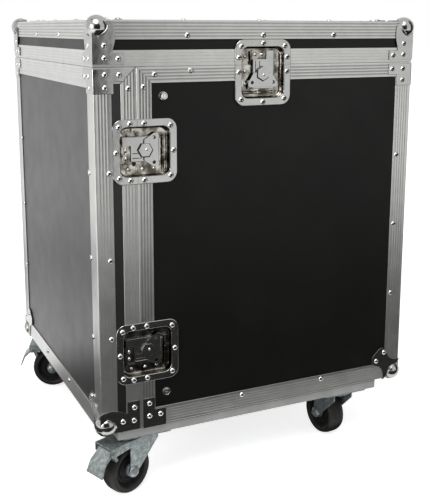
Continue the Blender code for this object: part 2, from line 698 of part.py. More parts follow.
def front_foot_side():
    """Side face of the front lid's lower corner: an arched foot that ends in an upright brace."""
    right = FRONT_LID_DEPTH - BRACE_SEAM_OFFSET - LID_GAP
    left = right - FOOT_BRACE_WIDTH
    arch = arc(FOOT_ARCH_IN, -FOOT_ARCH_BELOW, FOOT_ARCH_RADIUS, 112, 59, 4)
    return [(-GAP - STEEL_PLATE, 0.0), (right, 0.0), (right, FOOT_BRACE_HEIGHT), (left, FOOT_BRACE_HEIGHT),
            (left, arch[-1][1])] + arch[-1:0:-1] + [(-GAP - STEEL_PLATE, arch[0][1])]


def make_top_lid(case, ply, aluminium):
    """Top lid: glued ply tray, double angle edging and the tongue edging over the seam."""
    w, d = HALF_W, HALF_D
    up, down = (0, 0, 1), (0, 0, -1)
    low, high = SEAM_Z + LID_GAP + TONGUE_PLY_EDGE, LID_TOP - PLY_OUT
    outer = box((-w + PLY_OUT, -d + PLY_OUT, low), (w - PLY_OUT, d - PLY_OUT, high))
    inner = box((-w + PLY_IN, -d + PLY_IN, low - PLY), (w - PLY_IN, d - PLY_IN, high - PLY))
    shell = combined(outer, ("DIFFERENCE", inner), ("DIFFERENCE", well_clearances(PLY_CUT, "top_lid")))
    add_piece("top_lid_shell", shell, ply, case)

    loop = [(w, -d), (w, d), (-w, d), (-w, -d)]
    top = swept([(x, y, LID_TOP) for x, y in loop], up, down, angle_profile(ANGLE_TOP_FLANGE, ANGLE_LID_SIDE), True)
    add_piece("top_lid_edging", top, aluminium, case)

    seam_z = SEAM_Z + LID_GAP
    ring = swept([(x, y, seam_z) for x, y in loop], up, up, butt_profile(), True)
    start = SEAM_Y + SEAM_INNER_FLANGE
    tongue_path = [(w, start, seam_z), (w, d, seam_z), (-w, d, seam_z), (-w, start, seam_z)]
    tongue = swept(tongue_path, up, up, tongue_strip())
    ring = combined(ring, ("UNION", tongue), ("DIFFERENCE", well_clearances(EDGE_CUT, "top_lid")))
    add_piece("top_lid_seam_edging", ring, aluminium, case)


def make_front_lid(case, ply, aluminium):
    """Front lid: glued ply tray open behind and above, its edging and the tongue edging."""
    w, d = HALF_W, HALF_D
    back = SEAM_Y - LID_GAP
    top = SEAM_Z - TONGUE_PLY_EDGE
    outer = box((-w + PLY_OUT, -d + PLY_OUT, PLY_OUT), (w - PLY_OUT, back - TONGUE_PLY_EDGE, top))
    inner = box((-w + PLY_IN, -d + PLY_IN, PLY_IN), (w - PLY_IN, back + PLY, top + PLY))
    shell = combined(outer, ("DIFFERENCE", inner), ("DIFFERENCE", well_clearances(PLY_CUT, "front_lid")))
    add_piece("front_lid_shell", shell, ply, case)

    rail_path = [(w, back, SEAM_Z), (w, -d, SEAM_Z), (-w, -d, SEAM_Z), (-w, back, SEAM_Z)]
    rail = swept(mitred_ends(rail_path), (0, 0, -1), (0, 0, -1), butt_profile(), mitre=1.0)
    rise = SEAM_Z - SEAM_FLANGE + EDGE_SKIN
    edge_path = [(w, -d, rise), (w, -d, 0), (-w, -d, 0), (-w, -d, rise)]
    edge = swept(edge_path, (0, 1, 0), (0, 1, 0), angle_profile(ANGLE_FRONT_FACE, ANGLE_FRONT_SIDE))
    braces = [corner_brace(sx, -1) for sx in (1, -1)]
    edging = add_braces(combined(rail, ("UNION", edge)), braces)
    add_piece("front_lid_edging", edging, aluminium, case)

    seam_path = [(w, back, SEAM_Z), (w, back, 0), (-w, back, 0), (-w, back, SEAM_Z)]
    ring = swept(mitred_ends(seam_path), (0, 1, 0), (0, -1, 0), butt_profile(), mitre=1.0)
    inset = SEAM_INNER_FLANGE
    tongue_path = [(w, back, SEAM_Z - inset), (w, back, 0), (-w, back, 0), (-w, back, SEAM_Z - inset)]
    tongue = swept(tongue_path, (0, 1, 0), (0, -1, 0), tongue_strip())
    ring = combined(ring, ("UNION", tongue), ("DIFFERENCE", well_clearances(EDGE_CUT, "front_lid")))
    add_piece("front_lid_seam_edging", ring, aluminium, case)


def hole_rows(units):
    """Distances of the hole centres along a rail, three to each rack unit."""
    return [unit * RACK_UNIT + FIRST_HOLE + step * HOLE_STEP for unit in range(units) for step in range(3)]


def opening(middle, half, low, high):
    """Four cornered hole in a rail's flange."""
    return [(middle - half, low), (middle + half, low), (middle + half, high), (middle - half, high)]


def rail_mesh(units, leg, slotted):
    """Angle rail along Y: a flat flange in XY with holes or one slot, and a leg down its outer edge."""
    inner, outer = RAIL_INNER_WIDTH / 2, RAIL_OUTER
    length = units * RACK_UNIT
    middle = HOLE_CENTRES / 2
    if slotted:
        holes = [opening(middle, SLOT_WIDTH / 2, SLOT_END, length - SLOT_END)]
    else:
        half = HOLE_SIZE / 2
        holes = [opening(middle, half, y - half, y + half) for y in hole_rows(units)]
    outline = [(inner, 0.0), (outer, 0.0), (outer, length), (inner, length)]
    flange = prism(outline, -RAIL_THICKNESS, 0.0, holes)
    return combined(flange, ("UNION", box((outer - RAIL_THICKNESS, 0.0, -leg), (outer, length, 0.0))))


def make_rails(case, steel):
    """Upright rack rails behind the front opening and level mixer rails under the top one."""
    rack_front = SEAM_Y + RACK_RAIL_SETBACK
    upright = Matrix(((1, 0, 0, 0), (0, 0, -1, rack_front), (0, 1, 0, PLY_IN + GAP), (0, 0, 0, 1)))
    level = Matrix.Translation((0, SEAM_Y + MIXER_RAIL_FRONT, SEAM_Z - MIXER_RAIL_DROP))
    for side, sx in (("left", -1), ("right", 1)):
        mirror = Matrix.Diagonal((sx, 1, 1, 1))
        rack = placed(rail_mesh(RACK_UNITS, RACK_RAIL_LEG, False), mirror @ upright)
        mixer = placed(rail_mesh(MIXER_UNITS, MIXER_RAIL_LEG, True), mirror @ level)
        for name, mesh in ((f"rack_rail_{side}", rack), (f"mixer_rail_{side}", mixer)):
            add_piece(name, mesh, steel, case)


def castor_places():
    """Name, swivel centre and heading of each castor. The wheel trails along the heading."""
    places = []
    for side, sx in (("left", -1), ("right", 1)):
        front = 270 + sx * FRONT_HEADING
        rear = 180 + REAR_HEADING if sx > 0 else -REAR_HEADING
        places.append((f"front_{side}", Vector((sx * CASTOR_X, CASTOR_FRONT_Y)), front))
        places.append((f"rear_{side}", Vector((sx * CASTOR_X, CASTOR_REAR_Y)), rear))
    return places


def make_castor_board(case, ply):
    """Castor board with its packing sheet, and the four top plates bolted under it."""
    x, front, rear = HALF_W - BOARD_SIDE_INSET, -HALF_D + BOARD_FRONT_INSET, HALF_D - BOARD_REAR_INSET
    board = box((-x, front, BOARD_BOTTOM), (x, rear, BOARD_TOP))
    pad_x, pad_front, pad_rear = HALF_W - PACKING_INSET, SEAM_Y + PACKING_INSET / 2, HALF_D - PACKING_INSET
    pad = box((-pad_x, pad_front, BOARD_TOP - GAP), (pad_x, pad_rear, EDGE_SKIN))
    plates, races, bores = [], [], []
    below = BOARD_BOTTOM - CASTOR_PLATE
    half_w, half_l = CASTOR_PLATE_WIDTH / 2, CASTOR_PLATE_LENGTH / 2
    for name, centre, heading in castor_places():
        x0, y0 = centre
        outline = rounded(x0 - half_w, y0 - half_l, x0 + half_w, y0 + half_l, (0.006,) * 4, 1)
        plates.append(prism(outline, below, BOARD_BOTTOM + GAP))
        races.append(cylinder(RACE_RADIUS, below - RACE_HEIGHT, below + GAP, 16, centre))
        bore = (KINGPIN_RADIUS + GAP) / math.cos(math.pi / 10)
        bores.append(cylinder(bore, below - 2 * RACE_HEIGHT, below, 10, centre))
    mesh = combined(board, ("UNION", pad), ("UNION", joined(plates)), ("UNION", joined(races)),
                    ("DIFFERENCE", joined(bores)))
    add_piece("castor_board", mesh, ply, case)


def fork_mesh(braked):
    """Pressed fork about the swivel axis, zero on the floor, the wheel trailing along +X."""
    under = CROWN_TOP - FORK_SHEET
    half = FORK_INNER / 2
    outer = half + FORK_SHEET
    tip = CASTOR_TRAIL + FORK_NOSE
    leg = [(-FORK_BACK, CROWN_TOP), (-FORK_BACK, CROWN_TOP - FORK_SHOULDER)]
    leg += arc(CASTOR_TRAIL, WHEEL_RADIUS, FORK_BOSS, 205, 345, 4)
    leg += [(tip, WHEEL_RADIUS + FORK_BOSS), (tip, CROWN_TOP)]
    upright = Matrix(((1, 0, 0, 0), (0, 0, -1, 0), (0, 1, 0, 0), (0, 0, 0, 1)))
    crown = arc(0, 0, CROWN_RADIUS, 130, 230, 4)
    crown += [(-FORK_SHOULDER, -outer), (tip, -outer), (tip, outer), (-FORK_SHOULDER, outer)]
    steps = []
    for side in (-1, 1):
        inner, far = side * half, side * outer
        steps.append(("UNION", placed(prism(leg, min(inner, far), max(inner, far)), upright)))
    axle = cylinder(AXLE_RADIUS, -outer - AXLE_END, outer + AXLE_END, 8, (CASTOR_TRAIL, WHEEL_RADIUS))
    steps.append(("UNION", placed(axle, upright)))
    steps.append(("UNION", cylinder(KINGPIN_RADIUS, under + GAP, CROWN_TOP + RACE_HEIGHT, 10)))
    if braked:
        cheek = [(tip - 0.002, CROWN_TOP), (tip - 0.002, CROWN_TOP - 0.011), (BRAKE_REACH - 0.004, CROWN_TOP - 0.0165),
                 (BRAKE_REACH, CROWN_TOP - 0.014), (BRAKE_REACH, CROWN_TOP)]
        cover = [(tip - 0.002, -outer), (BRAKE_REACH, -outer), (BRAKE_REACH, outer), (tip - 0.002, outer)]
        steps.append(("UNION", prism(cover, under, CROWN_TOP)))
        for side in (-1, 1):
            inner, far = side * half, side * outer
            steps.append(("UNION", placed(prism(cheek, min(inner, far), max(inner, far)), upright)))
        pin = cylinder(PEDAL_PIN, -outer - 0.001, outer + 0.001, 8, (HINGE_S, HINGE_Z))
        steps.append(("UNION", placed(pin, upright)))
    return combined(prism(crown, under, CROWN_TOP), *steps)


def wheel_mesh():
    """Tyre, rim and hub turned about the axle."""
    half = WHEEL_WIDTH / 2
    hub, tread = half + 0.0015, WHEEL_RADIUS
    side = [(AXLE_RADIUS + GAP, hub), (0.0105, hub), (0.0115, half - 0.007), (tread - 0.0135, half - 0.007),
            (tread - 0.011, half - 0.0005), (tread - 0.0025, half - 0.001), (tread, half - 0.008)]
    return turned(side + [(radius, -along) for radius, along in reversed(side)], 16)


def pedal_mesh():
    """Brake pedal about its hinge: rolled barrel, brake shoe and a tread plate that widens to the tip."""
    upright = Matrix(((1, 0, 0, 0), (0, 0, -1, 0), (0, 1, 0, 0), (0, 0, 0, 1)))
    half = PEDAL_WIDTH / 2
    sheet = FORK_SHEET
    run, fall = PEDAL_RUN, PEDAL_FALL
    barrel = PEDAL_PIN + GAP + 0.002
    shoe = [(SHOE_REACH * math.cos(turn), SHOE_REACH * math.sin(turn)) for turn in map(math.radians, SHOE_TURNS)]
    outline = arc(0, 0, barrel, 20, 200, 6) + shoe + [(-0.0005, -barrel), (0.0035, -0.0065)]
    outline += [(run * 0.62, -fall * 0.50), (run - sheet, -fall), (run, -fall), (run * 0.74, -fall * 0.44)]
    outline += [(0.0075, -0.0035)]
    hole = arc(0, 0, PEDAL_PIN + GAP, 0, -324, 9)
    mesh = placed(prism(outline, -half, half, [hole]), upright)
    spread = (PEDAL_TIP_WIDTH - PEDAL_WIDTH) / PEDAL_WIDTH
    for vert in mesh.vertices:
        vert.co.y *= 1 + spread * max(0.0, -vert.co.z) / fall
    return mesh


def make_castors(case, zinc, rubber):
    """Four swivel castors, the front two with brake pedals."""
    forks = {"front": fork_mesh(True), "rear": fork_mesh(False)}
    wheel, pedal = wheel_mesh(), pedal_mesh()
    for name, centre, heading in castor_places():
        where = Matrix.Translation((centre[0], centre[1], FLOOR)) @ Matrix.Rotation(math.radians(heading), 4, "Z")
        swivel = add_frame(f"swivel_axis_{name}", case, where)
        end = name.split("_")[0]
        add_piece(f"castor_fork_{name}", forks[end], zinc, swivel)
        axle = Matrix.Translation((CASTOR_TRAIL, 0, WHEEL_RADIUS))
        add_piece(f"castor_wheel_{name}", wheel, rubber, swivel, axle, smooth=40)
        if end == "front":
            hinge = Matrix.Translation((HINGE_S, 0, HINGE_Z))
            add_piece(f"brake_pedal_{name}", pedal, zinc, swivel, hinge)


def main():
    clear_scene()
    case = add_frame("case_frame", None, Matrix.Translation((0, CASE_SHIFT, -FLOOR)))
    ply = finish_material("black_laminate", (0.012, 0.012, 0.010), 0.42, 0.0)
    board = finish_material("grey_board", (0.32, 0.32, 0.31), 0.55, 0.0)
    aluminium = finish_material("ribbed_aluminium", (0.48, 0.48, 0.46), 0.38, 0.9)
    nickel = finish_material("bright_nickel", (0.62, 0.62, 0.60), 0.16, 1.0)
    zinc = finish_material("zinc_plate", (0.55, 0.58, 0.57), 0.34, 0.9)
    rubber = finish_material("black_rubber", (0.022, 0.022, 0.021), 0.6, 0.0)
    make_body_panels(case, ply)
    make_body_edging(case, aluminium)
    make_rails(case, zinc)
    make_castor_board(case, board)
    make_top_lid(case, ply, aluminium)
    make_front_lid(case, ply, aluminium)
    make_corners(case, nickel)
    make_latches(case, nickel)
    make_castors(case, zinc, rubber)


main()
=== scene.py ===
"""Dressing of a rack case with a mixer top: finishes, edging, corners, rivets, latches and castors.

Sizes are in metres. Case coordinates have their zero in the middle of the case's underside, with the
front lid towards -Y, and the function place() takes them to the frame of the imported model.
"""

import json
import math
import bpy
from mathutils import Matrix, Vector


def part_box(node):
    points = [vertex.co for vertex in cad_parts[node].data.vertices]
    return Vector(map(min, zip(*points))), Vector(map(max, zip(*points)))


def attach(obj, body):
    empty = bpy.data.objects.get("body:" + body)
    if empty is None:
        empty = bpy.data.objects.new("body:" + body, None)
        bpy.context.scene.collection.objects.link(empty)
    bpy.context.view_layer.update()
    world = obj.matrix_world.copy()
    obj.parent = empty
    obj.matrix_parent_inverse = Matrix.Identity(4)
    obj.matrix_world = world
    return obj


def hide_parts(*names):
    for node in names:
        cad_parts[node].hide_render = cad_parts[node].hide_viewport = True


bl_info = {
    "name": "Rack Case with Mixer Top",
    "version": (1, 0, 0),
    "blender": (4, 5, 0),
    "location": "3D Viewport > Sidebar > Rack Case",
    "description": "Dresses the packed model of a rack case with a mixer top",
    "category": "Object",
}

import bmesh
import bpy
from bpy.props import FloatProperty, FloatVectorProperty, IntProperty, PointerProperty
from mathutils import Matrix, Vector

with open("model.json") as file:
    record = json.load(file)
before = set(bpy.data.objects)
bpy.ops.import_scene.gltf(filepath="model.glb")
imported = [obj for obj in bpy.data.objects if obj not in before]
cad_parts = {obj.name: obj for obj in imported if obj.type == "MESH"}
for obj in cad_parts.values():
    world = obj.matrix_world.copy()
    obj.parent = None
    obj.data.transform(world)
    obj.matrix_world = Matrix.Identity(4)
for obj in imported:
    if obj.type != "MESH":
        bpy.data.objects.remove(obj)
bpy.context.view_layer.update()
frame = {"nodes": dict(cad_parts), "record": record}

LID_LOW, LID_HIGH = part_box("top_lid_edging")
FOOT_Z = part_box("front_lid_edging")[0][2]
MID_Y = (LID_LOW[1] + LID_HIGH[1]) / 2
HALF_W = LID_HIGH[0]
HALF_D = (LID_HIGH[1] - LID_LOW[1]) / 2
LID_TOP = LID_HIGH[2] - FOOT_Z
SEAM_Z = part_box("front_lid_edging")[1][2] - FOOT_Z
HALF_H = SEAM_Z / 2
SEAM_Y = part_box("body_front_edging")[0][1] - MID_Y

GAP = 0.0003
LID_GAP = 0.0004
SKIN = 0.0015
PLATE = 0.0012
PLY = 0.009
PLY_OUT = SKIN + GAP
INNER_FLANGE = PLY_OUT + PLY + GAP
INNER_FACE = INNER_FLANGE + SKIN
SEAM_FLANGE = 0.0245
SEAM_INNER = 0.016
GROOVE_DEPTH = 0.008
GROOVE_WEB = 0.0015
TONGUE_WEB = 0.002
ON_FACE = GAP + PLATE
FLOOR_SHALLOW, FLOOR_DEEP = 0.0001, 0.001
PAST_BEND = 0.0025

BODY_OF = {node: body for body, nodes in frame["record"]["behaviour"]["bodies"].items() for node in nodes}
SIDES = (("left", -1), ("right", 1))


def place(x, y, z):
    return Vector((x, y + MID_Y, z + FOOT_Z))


# Work at the bench: picking, adding and shaping with Blender's own tools


def put_down():
    """Leaves edit mode and lets go of everything."""
    if bpy.context.object and bpy.context.object.mode != "OBJECT":
        bpy.ops.object.mode_set(mode="OBJECT")
    bpy.ops.object.select_all(action="DESELECT")


def take_up(obj):
    put_down()
    obj.select_set(True)
    bpy.context.view_layer.objects.active = obj


def open_mesh(obj, mode="FACE"):
    take_up(obj)
    bpy.ops.object.mode_set(mode="EDIT")
    bpy.ops.mesh.select_mode(type=mode)
    bpy.ops.mesh.select_all(action="SELECT")


def close_mesh(obj):
    bpy.ops.mesh.select_all(action="SELECT")
    bpy.ops.mesh.remove_doubles(threshold=1e-6)
    bpy.ops.mesh.normals_make_consistent(inside=False)
    bpy.ops.object.mode_set(mode="OBJECT")


def choose(obj, kind, test):
    """Selects the vertices, edges or faces of the open mesh that pass the test."""
    shape = bmesh.from_edit_mesh(obj.data)
    for group in (shape.verts, shape.edges, shape.faces):
        for item in group:
            item.select_set(False)
    for item in getattr(shape, kind):
        if test(item):
            item.select_set(True)
    shape.select_flush_mode()
    bmesh.update_edit_mesh(obj.data)


def settle(obj, matrix=None):
    """Moves the object by the matrix and leaves its place in its mesh."""
    if matrix is not None:
        obj.matrix_world = matrix @ obj.matrix_world
    take_up(obj)
    bpy.ops.object.transform_apply(location=True, rotation=True, scale=True)
    if matrix is not None and matrix.determinant() < 0:
        open_mesh(obj)
        close_mesh(obj)
    return obj


def apply_all(obj):
    take_up(obj)
    for step in list(obj.modifiers):
        bpy.ops.object.modifier_apply(modifier=step.name)
    return obj


def soften(obj, width, segments=2, angle=30.0):
    """Rounds the sharp edges and shades the faces smooth up to the angle."""
    step = obj.modifiers.new("edges", "BEVEL")
    step.width = width
    step.segments = segments
    step.limit_method = "ANGLE"
    step.angle_limit = math.radians(angle)
    step.use_clamp_overlap = True
    apply_all(obj)
    return smooth(obj, angle)


def smooth(obj, angle=30.0):
    take_up(obj)
    bpy.ops.object.shade_smooth_by_angle(angle=math.radians(angle))
    return obj


def cut(obj, cutters, operation="DIFFERENCE"):
    for cutter in cutters:
        step = obj.modifiers.new("cut", "BOOLEAN")
        step.operation = operation
        step.solver = "EXACT"
        step.object = cutter
    apply_all(obj)
    for cutter in cutters:
        bpy.data.objects.remove(cutter)
    return obj


def join(name, pieces):
    """Makes one object of several."""
    put_down()
    for piece in pieces:
        piece.select_set(True)
    bpy.context.view_layer.objects.active = pieces[0]
    if len(pieces) > 1:
        bpy.ops.object.join()
    return rename(bpy.context.object, name)


def rename(obj, name):
    obj.name = name
    obj.data.name = name
    return obj


def block(low, high, name="block"):
    """Cuboid between two corners."""
    put_down()
    low, high = Vector(low), Vector(high)
    bpy.ops.mesh.primitive_cube_add(size=1.0, location=(low + high) / 2)
    obj = bpy.context.object
    obj.scale = [abs(value) for value in high - low]
    return settle(rename(obj, name))


def draw_line(points, name):
    """A line drawn point by point, left open in edit mode with all of it selected."""
    put_down()
    bpy.ops.mesh.primitive_plane_add(size=0.001)
    obj = rename(bpy.context.object, name)
    open_mesh(obj, "VERT")
    bpy.ops.mesh.merge(type="CENTER")
    bpy.ops.transform.translate(value=points[0])
    for (ax, ay, az), (bx, by, bz) in zip(points, points[1:]):
        bpy.ops.mesh.extrude_vertices_move(TRANSFORM_OT_translate={"value": (bx - ax, by - ay, bz - az)})
    bpy.ops.mesh.select_all(action="SELECT")
    return obj


def plate(outline, low, high, name="plate"):
    """Flat outline raised from low to high along Z."""
    obj = draw_line([(x, y, low) for x, y in outline], name)
    bpy.ops.mesh.edge_face_add()
    bpy.ops.mesh.extrude_region_move(TRANSFORM_OT_translate={"value": (0, 0, high - low)})
    close_mesh(obj)
    return obj


def spun(profile, steps, name="spun"):
    """Outline of (radius, height) points spun about Z, closed unless both its ends lie on the axis."""
    if profile[0][0] > 0 or profile[-1][0] > 0:
        profile = profile + profile[:1]
    obj = draw_line([(radius, 0, height) for radius, height in profile], name)
    bpy.ops.mesh.spin(steps=steps, angle=math.tau, center=(0, 0, 0), axis=(0, 0, 1))
    close_mesh(obj)
    return obj


def arc(cx, cy, radius, start, end, steps):
    turns = [math.radians(start + (end - start) * i / steps) for i in range(steps + 1)]
    return [(cx + radius * math.cos(t), cy + radius * math.sin(t)) for t in turns]


def rounded(x0, y0, x1, y1, radius, steps):
    """Rectangle outline with rounded corners, from the lower left anticlockwise."""
    corners = ((x0, y0, 1, 1, 180), (x1, y0, -1, 1, 270), (x1, y1, -1, -1, 0), (x0, y1, 1, -1, 90))
    outline = []
    for x, y, sx, sy, start in corners:
        outline += arc(x + sx * radius, y + sy * radius, radius, start, start + 90, steps)
    return outline


def hexagon(radius):
    """Outline of a hexagon with a corner up."""
    turns = [math.radians(60 * i) for i in range(6)]
    return [(radius * math.sin(turn), radius * math.cos(turn)) for turn in turns]


def edging_frame(half_x, half_y, profile, name):
    """Rectangular edging with mitred corners, its profile (inward, up) drawn loop by loop.

    The floors of its grooves are marked for the second finish, a darker aluminium that paints the shade in
    the grooves.
    """
    put_down()
    bpy.ops.mesh.primitive_plane_add(size=2.0)
    obj = rename(bpy.context.object, name)
    open_mesh(obj, "EDGE")
    bpy.ops.mesh.delete(type="ONLY_FACE")
    bpy.ops.mesh.select_all(action="SELECT")
    u, w = profile[0]
    bpy.ops.transform.resize(value=(half_x - u, half_y - u, 1.0), center_override=(0, 0, 0))
    bpy.ops.transform.translate(value=(0, 0, w))
    for (u0, w0), (u1, w1) in zip(profile, profile[1:] + profile[:1]):
        bpy.ops.mesh.extrude_edges_move(TRANSFORM_OT_translate={"value": (0, 0, w1 - w0)})
        scale = ((half_x - u1) / (half_x - u0), (half_y - u1) / (half_y - u0), 1.0)
        bpy.ops.transform.resize(value=scale, center_override=(0, 0, 0))
    close_mesh(obj)
    # Groove floors get index 1, the darker aluminium that paints the shade in the grooves.
    for face in obj.data.polygons:
        inward = min(half_x - abs(face.center.x), half_y - abs(face.center.y))
        low, high = sorted((inward, abs(face.center.z)))
        face.material_index = int(FLOOR_SHALLOW < low < FLOOR_DEEP and high > PAST_BEND)
    return obj


def saw(obj, point, normal):
    """Takes off what lies on the normal's side of a plane and closes the cut."""
    open_mesh(obj)
    bpy.ops.mesh.bisect(plane_co=point, plane_no=normal, use_fill=True, clear_outer=True)
    close_mesh(obj)
    return obj


def facing(point, normal):
    """Matrix that stands a piece made about Z on a face."""
    return Matrix.Translation(point) @ Vector(normal).to_track_quat("Z", "Y").to_matrix().to_4x4()


def duplicate(obj, name, matrix=None):
    """A copy with a mesh of its own, moved by the matrix."""
    copy = bpy.data.objects.new(name, obj.data.copy())
    copy.data.name = name
    bpy.context.collection.objects.link(copy)
    if matrix is not None:
        copy.data.transform(matrix)
        if matrix.determinant() < 0:
            copy.data.flip_normals()
    return copy


def put_away(*spares):
    """Removes the pieces that were only there to be copied."""
    for spare in spares:
        bpy.data.objects.remove(spare)


def cad_copy(node, name):
    """The CAD node's mesh as a new object with its loose triangles merged into faces."""
    obj = duplicate(frame["nodes"][node], name)
    obj.data.materials.clear()
    open_mesh(obj, "VERT")
    bpy.ops.mesh.remove_doubles(threshold=2e-6)
    bpy.ops.mesh.dissolve_limited(angle_limit=math.radians(0.5))
    bpy.ops.object.mode_set(mode="OBJECT")
    return obj


def hand_over(obj, finish, body, slot, *nodes):
    """Gives the piece its finish, or its row of finishes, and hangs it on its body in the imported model."""
    layers = [finishes()[name] for name in ([finish] if isinstance(finish, str) else finish)]
    marks = [min(face.material_index, len(layers) - 1) for face in obj.data.polygons]
    obj.data.materials.clear()
    for layer in layers:
        obj.data.materials.append(layer)
    obj.data.polygons.foreach_set("material_index", marks)
    take_up(obj)
    step = obj.modifiers.new("flat_faces_stay_flat", "WEIGHTED_NORMAL")
    step.keep_sharp = True
    bpy.ops.object.modifier_apply(modifier=step.name)
    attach(obj, body)
    if nodes:
        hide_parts(*nodes)


def hand_over_nickel(obj, body, *nodes):
    hand_over(obj, "bright_nickel", body, "bright_nickel", *nodes)


# Finishes


def scaled(colour, share):
    """The colour made darker or brighter by a share."""
    return tuple(min(c * share, 1.0) for c in colour)


def set_inputs(node, **values):
    """Sets a shader node's inputs, whose names stand here with low lines for spaces."""
    for name, value in values.items():
        node.inputs[name.replace("_", " ")].default_value = value
    return node


class Finish:
    """A Principled material with helpers for its pattern nodes."""

    def __init__(self, name, colour, roughness, metallic=0.0):
        self.material = bpy.data.materials.new(name)
        self.material.use_nodes = True
        self.nodes = self.material.node_tree.nodes
        self.shader = set_inputs(self.nodes["Principled BSDF"], Base_Color=(*colour, 1.0),
                                 Roughness=roughness, Metallic=metallic)
        self.place = self.nodes.new("ShaderNodeTexCoord").outputs["Object"]

    def link(self, source, target):
        self.material.node_tree.links.new(source, target)

    def noise(self, scale, detail, roughness=0.5):
        node = set_inputs(self.nodes.new("ShaderNodeTexNoise"), Scale=scale, Detail=detail,
                          Roughness=roughness)
        self.link(self.place, node.inputs["Vector"])
        return node.outputs["Fac"]

    def cells(self, scale):
        node = set_inputs(self.nodes.new("ShaderNodeTexVoronoi"), Scale=scale)
        self.link(self.place, node.inputs["Vector"])
        return node.outputs["Distance"]

    def colour(self, source, *stops):
        """Runs the colour through (position, colour) stops along the pattern."""
        node = self.nodes.new("ShaderNodeValToRGB")
        ramp = node.color_ramp
        while len(ramp.elements) < len(stops):
            ramp.elements.new(0.5)
        for element, (position, value) in zip(ramp.elements, stops):
            element.position = position
            element.color = (*value, 1.0)
        self.link(source, node.inputs["Fac"])
        self.link(node.outputs["Color"], self.shader.inputs["Base Color"])

    def shades(self, source, colour, *stops):
        """Runs one colour through (position, share) stops along the pattern."""
        self.colour(source, *((position, scaled(colour, share)) for position, share in stops))

    def roughness(self, source, low, high):
        node = set_inputs(self.nodes.new("ShaderNodeMapRange"), To_Min=low, To_Max=high)
        self.link(source, node.inputs["Value"])
        self.link(node.outputs["Result"], self.shader.inputs["Roughness"])

    def bump(self, source, strength, distance):
        """Adds a height pattern on top of the earlier ones."""
        node = set_inputs(self.nodes.new("ShaderNodeBump"), Strength=strength, Distance=distance)
        self.link(source, node.inputs["Height"])
        earlier = self.shader.inputs["Normal"].links
        if earlier:
            self.link(earlier[0].from_socket, node.inputs["Normal"])
        self.link(node.outputs["Normal"], self.shader.inputs["Normal"])


def laminate(colour, name, ior):
    """Black laminate on ply: a fine pebbled face with faint rubbed patches."""
    finish = Finish(name, colour, 0.4)
    finish.shades(finish.noise(9.0, 5.0), colour, (0.35, 0.8), (0.7, 1.35))
    finish.roughness(finish.noise(26.0, 6.0), 0.34, 0.48)
    finish.bump(finish.cells(900.0), 0.22, 0.0003)
    finish.bump(finish.noise(380.0, 3.0), 0.12, 0.0004)
    set_inputs(finish.shader, IOR=ior)
    return finish.material


def extrusion(colour, name):
    """Satin extruded aluminium, with faint cloudy wear."""
    finish = Finish(name, colour, 0.36, 0.9)
    wear = finish.noise(38.0, 6.0, 0.6)
    finish.shades(wear, colour, (0.3, 0.92), (0.7, 1.08))
    finish.roughness(wear, 0.24, 0.36)
    finish.bump(finish.noise(420.0, 3.0), 0.05, 0.0002)
    return finish.material


def nickel(colour):
    """Bright nickel plate on pressed steel, with a little haze and waviness."""
    finish = Finish("bright_nickel", colour, 0.16, 1.0)
    haze = finish.noise(55.0, 6.0, 0.6)
    finish.shades(haze, colour, (0.3, 0.9), (0.75, 1.06))
    finish.roughness(haze, 0.08, 0.22)
    finish.bump(finish.noise(70.0, 1.0), 0.10, 0.0012)
    return finish.material


def painted_well_shade(colour):
    """Nickel down in the latch dishes, darkened and streaked as painted shade and painted dark reflections,
    and wavy from the pressing.
    """
    finish = Finish("tarnished_nickel", scaled(colour, 0.6), 0.12, 1.0)
    # These stops paint the shade and the dark reflections down in the well as streaks.
    painted_well_streaks = ((0.38, (0.07, 0.064, 0.053)), (0.50, (0.21, 0.195, 0.168)), (0.64, (0.50, 0.48, 0.43)))
    finish.colour(finish.noise(62.0, 2.0, 0.5), *painted_well_streaks)
    finish.roughness(finish.noise(40.0, 4.0), 0.06, 0.18)
    finish.bump(finish.noise(120.0, 1.0), 0.3, 0.0015)
    return finish.material


def zinc(colour):
    """Zinc plate with its mottled sheen."""
    finish = Finish("zinc_plate", colour, 0.36, 0.65)
    flakes = finish.cells(260.0)
    patches = finish.noise(150.0, 6.0, 0.75)
    finish.shades(patches, colour, (0.36, 0.62), (0.52, 1.0), (0.68, 1.7))
    finish.roughness(flakes, 0.26, 0.55)
    finish.bump(patches, 0.25, 0.0005)
    return finish.material


def rubber(colour):
    """Black rubber tread with a dusty bloom."""
    finish = Finish("black_rubber", colour, 0.55)
    set_inputs(finish.shader, Specular_IOR_Level=0.25)
    finish.shades(finish.noise(60.0, 6.0), colour, (0.35, 0.75), (0.75, 1.7))
    finish.roughness(finish.noise(110.0, 4.0), 0.45, 0.68)
    finish.bump(finish.noise(700.0, 2.0), 0.15, 0.0003)
    return finish.material


def moulded():
    """Black nylon of the wheel centres, grained by its mould."""
    finish = Finish("wheel_plastic", (0.010, 0.010, 0.010), 0.6)
    set_inputs(finish.shader, Specular_IOR_Level=0.18)
    finish.roughness(finish.noise(220.0, 3.0), 0.5, 0.7)
    finish.bump(finish.noise(900.0, 2.0), 0.12, 0.0002)
    return finish.material


def grey_board(colour):
    """Grey painted ply of the castor board, with roller texture."""
    finish = Finish("grey_board", colour, 0.55)
    finish.shades(finish.noise(24.0, 5.0), colour, (0.3, 0.86), (0.7, 1.12))
    finish.roughness(finish.noise(60.0, 4.0), 0.45, 0.65)
    finish.bump(finish.noise(500.0, 3.0), 0.15, 0.0004)
    return finish.material


def plain_metal(name, colour, low, high, metallic):
    """Metal of small parts: rivets, screws, and the near-black that paints the shade in their holes."""
    finish = Finish(name, colour, low, metallic)
    finish.roughness(finish.noise(300.0, 3.0), low, high)
    finish.bump(finish.noise(500.0, 2.0), 0.08, 0.0002)
    return finish.material


FINISHES = {}
GROOVE_SHADE = 0.64


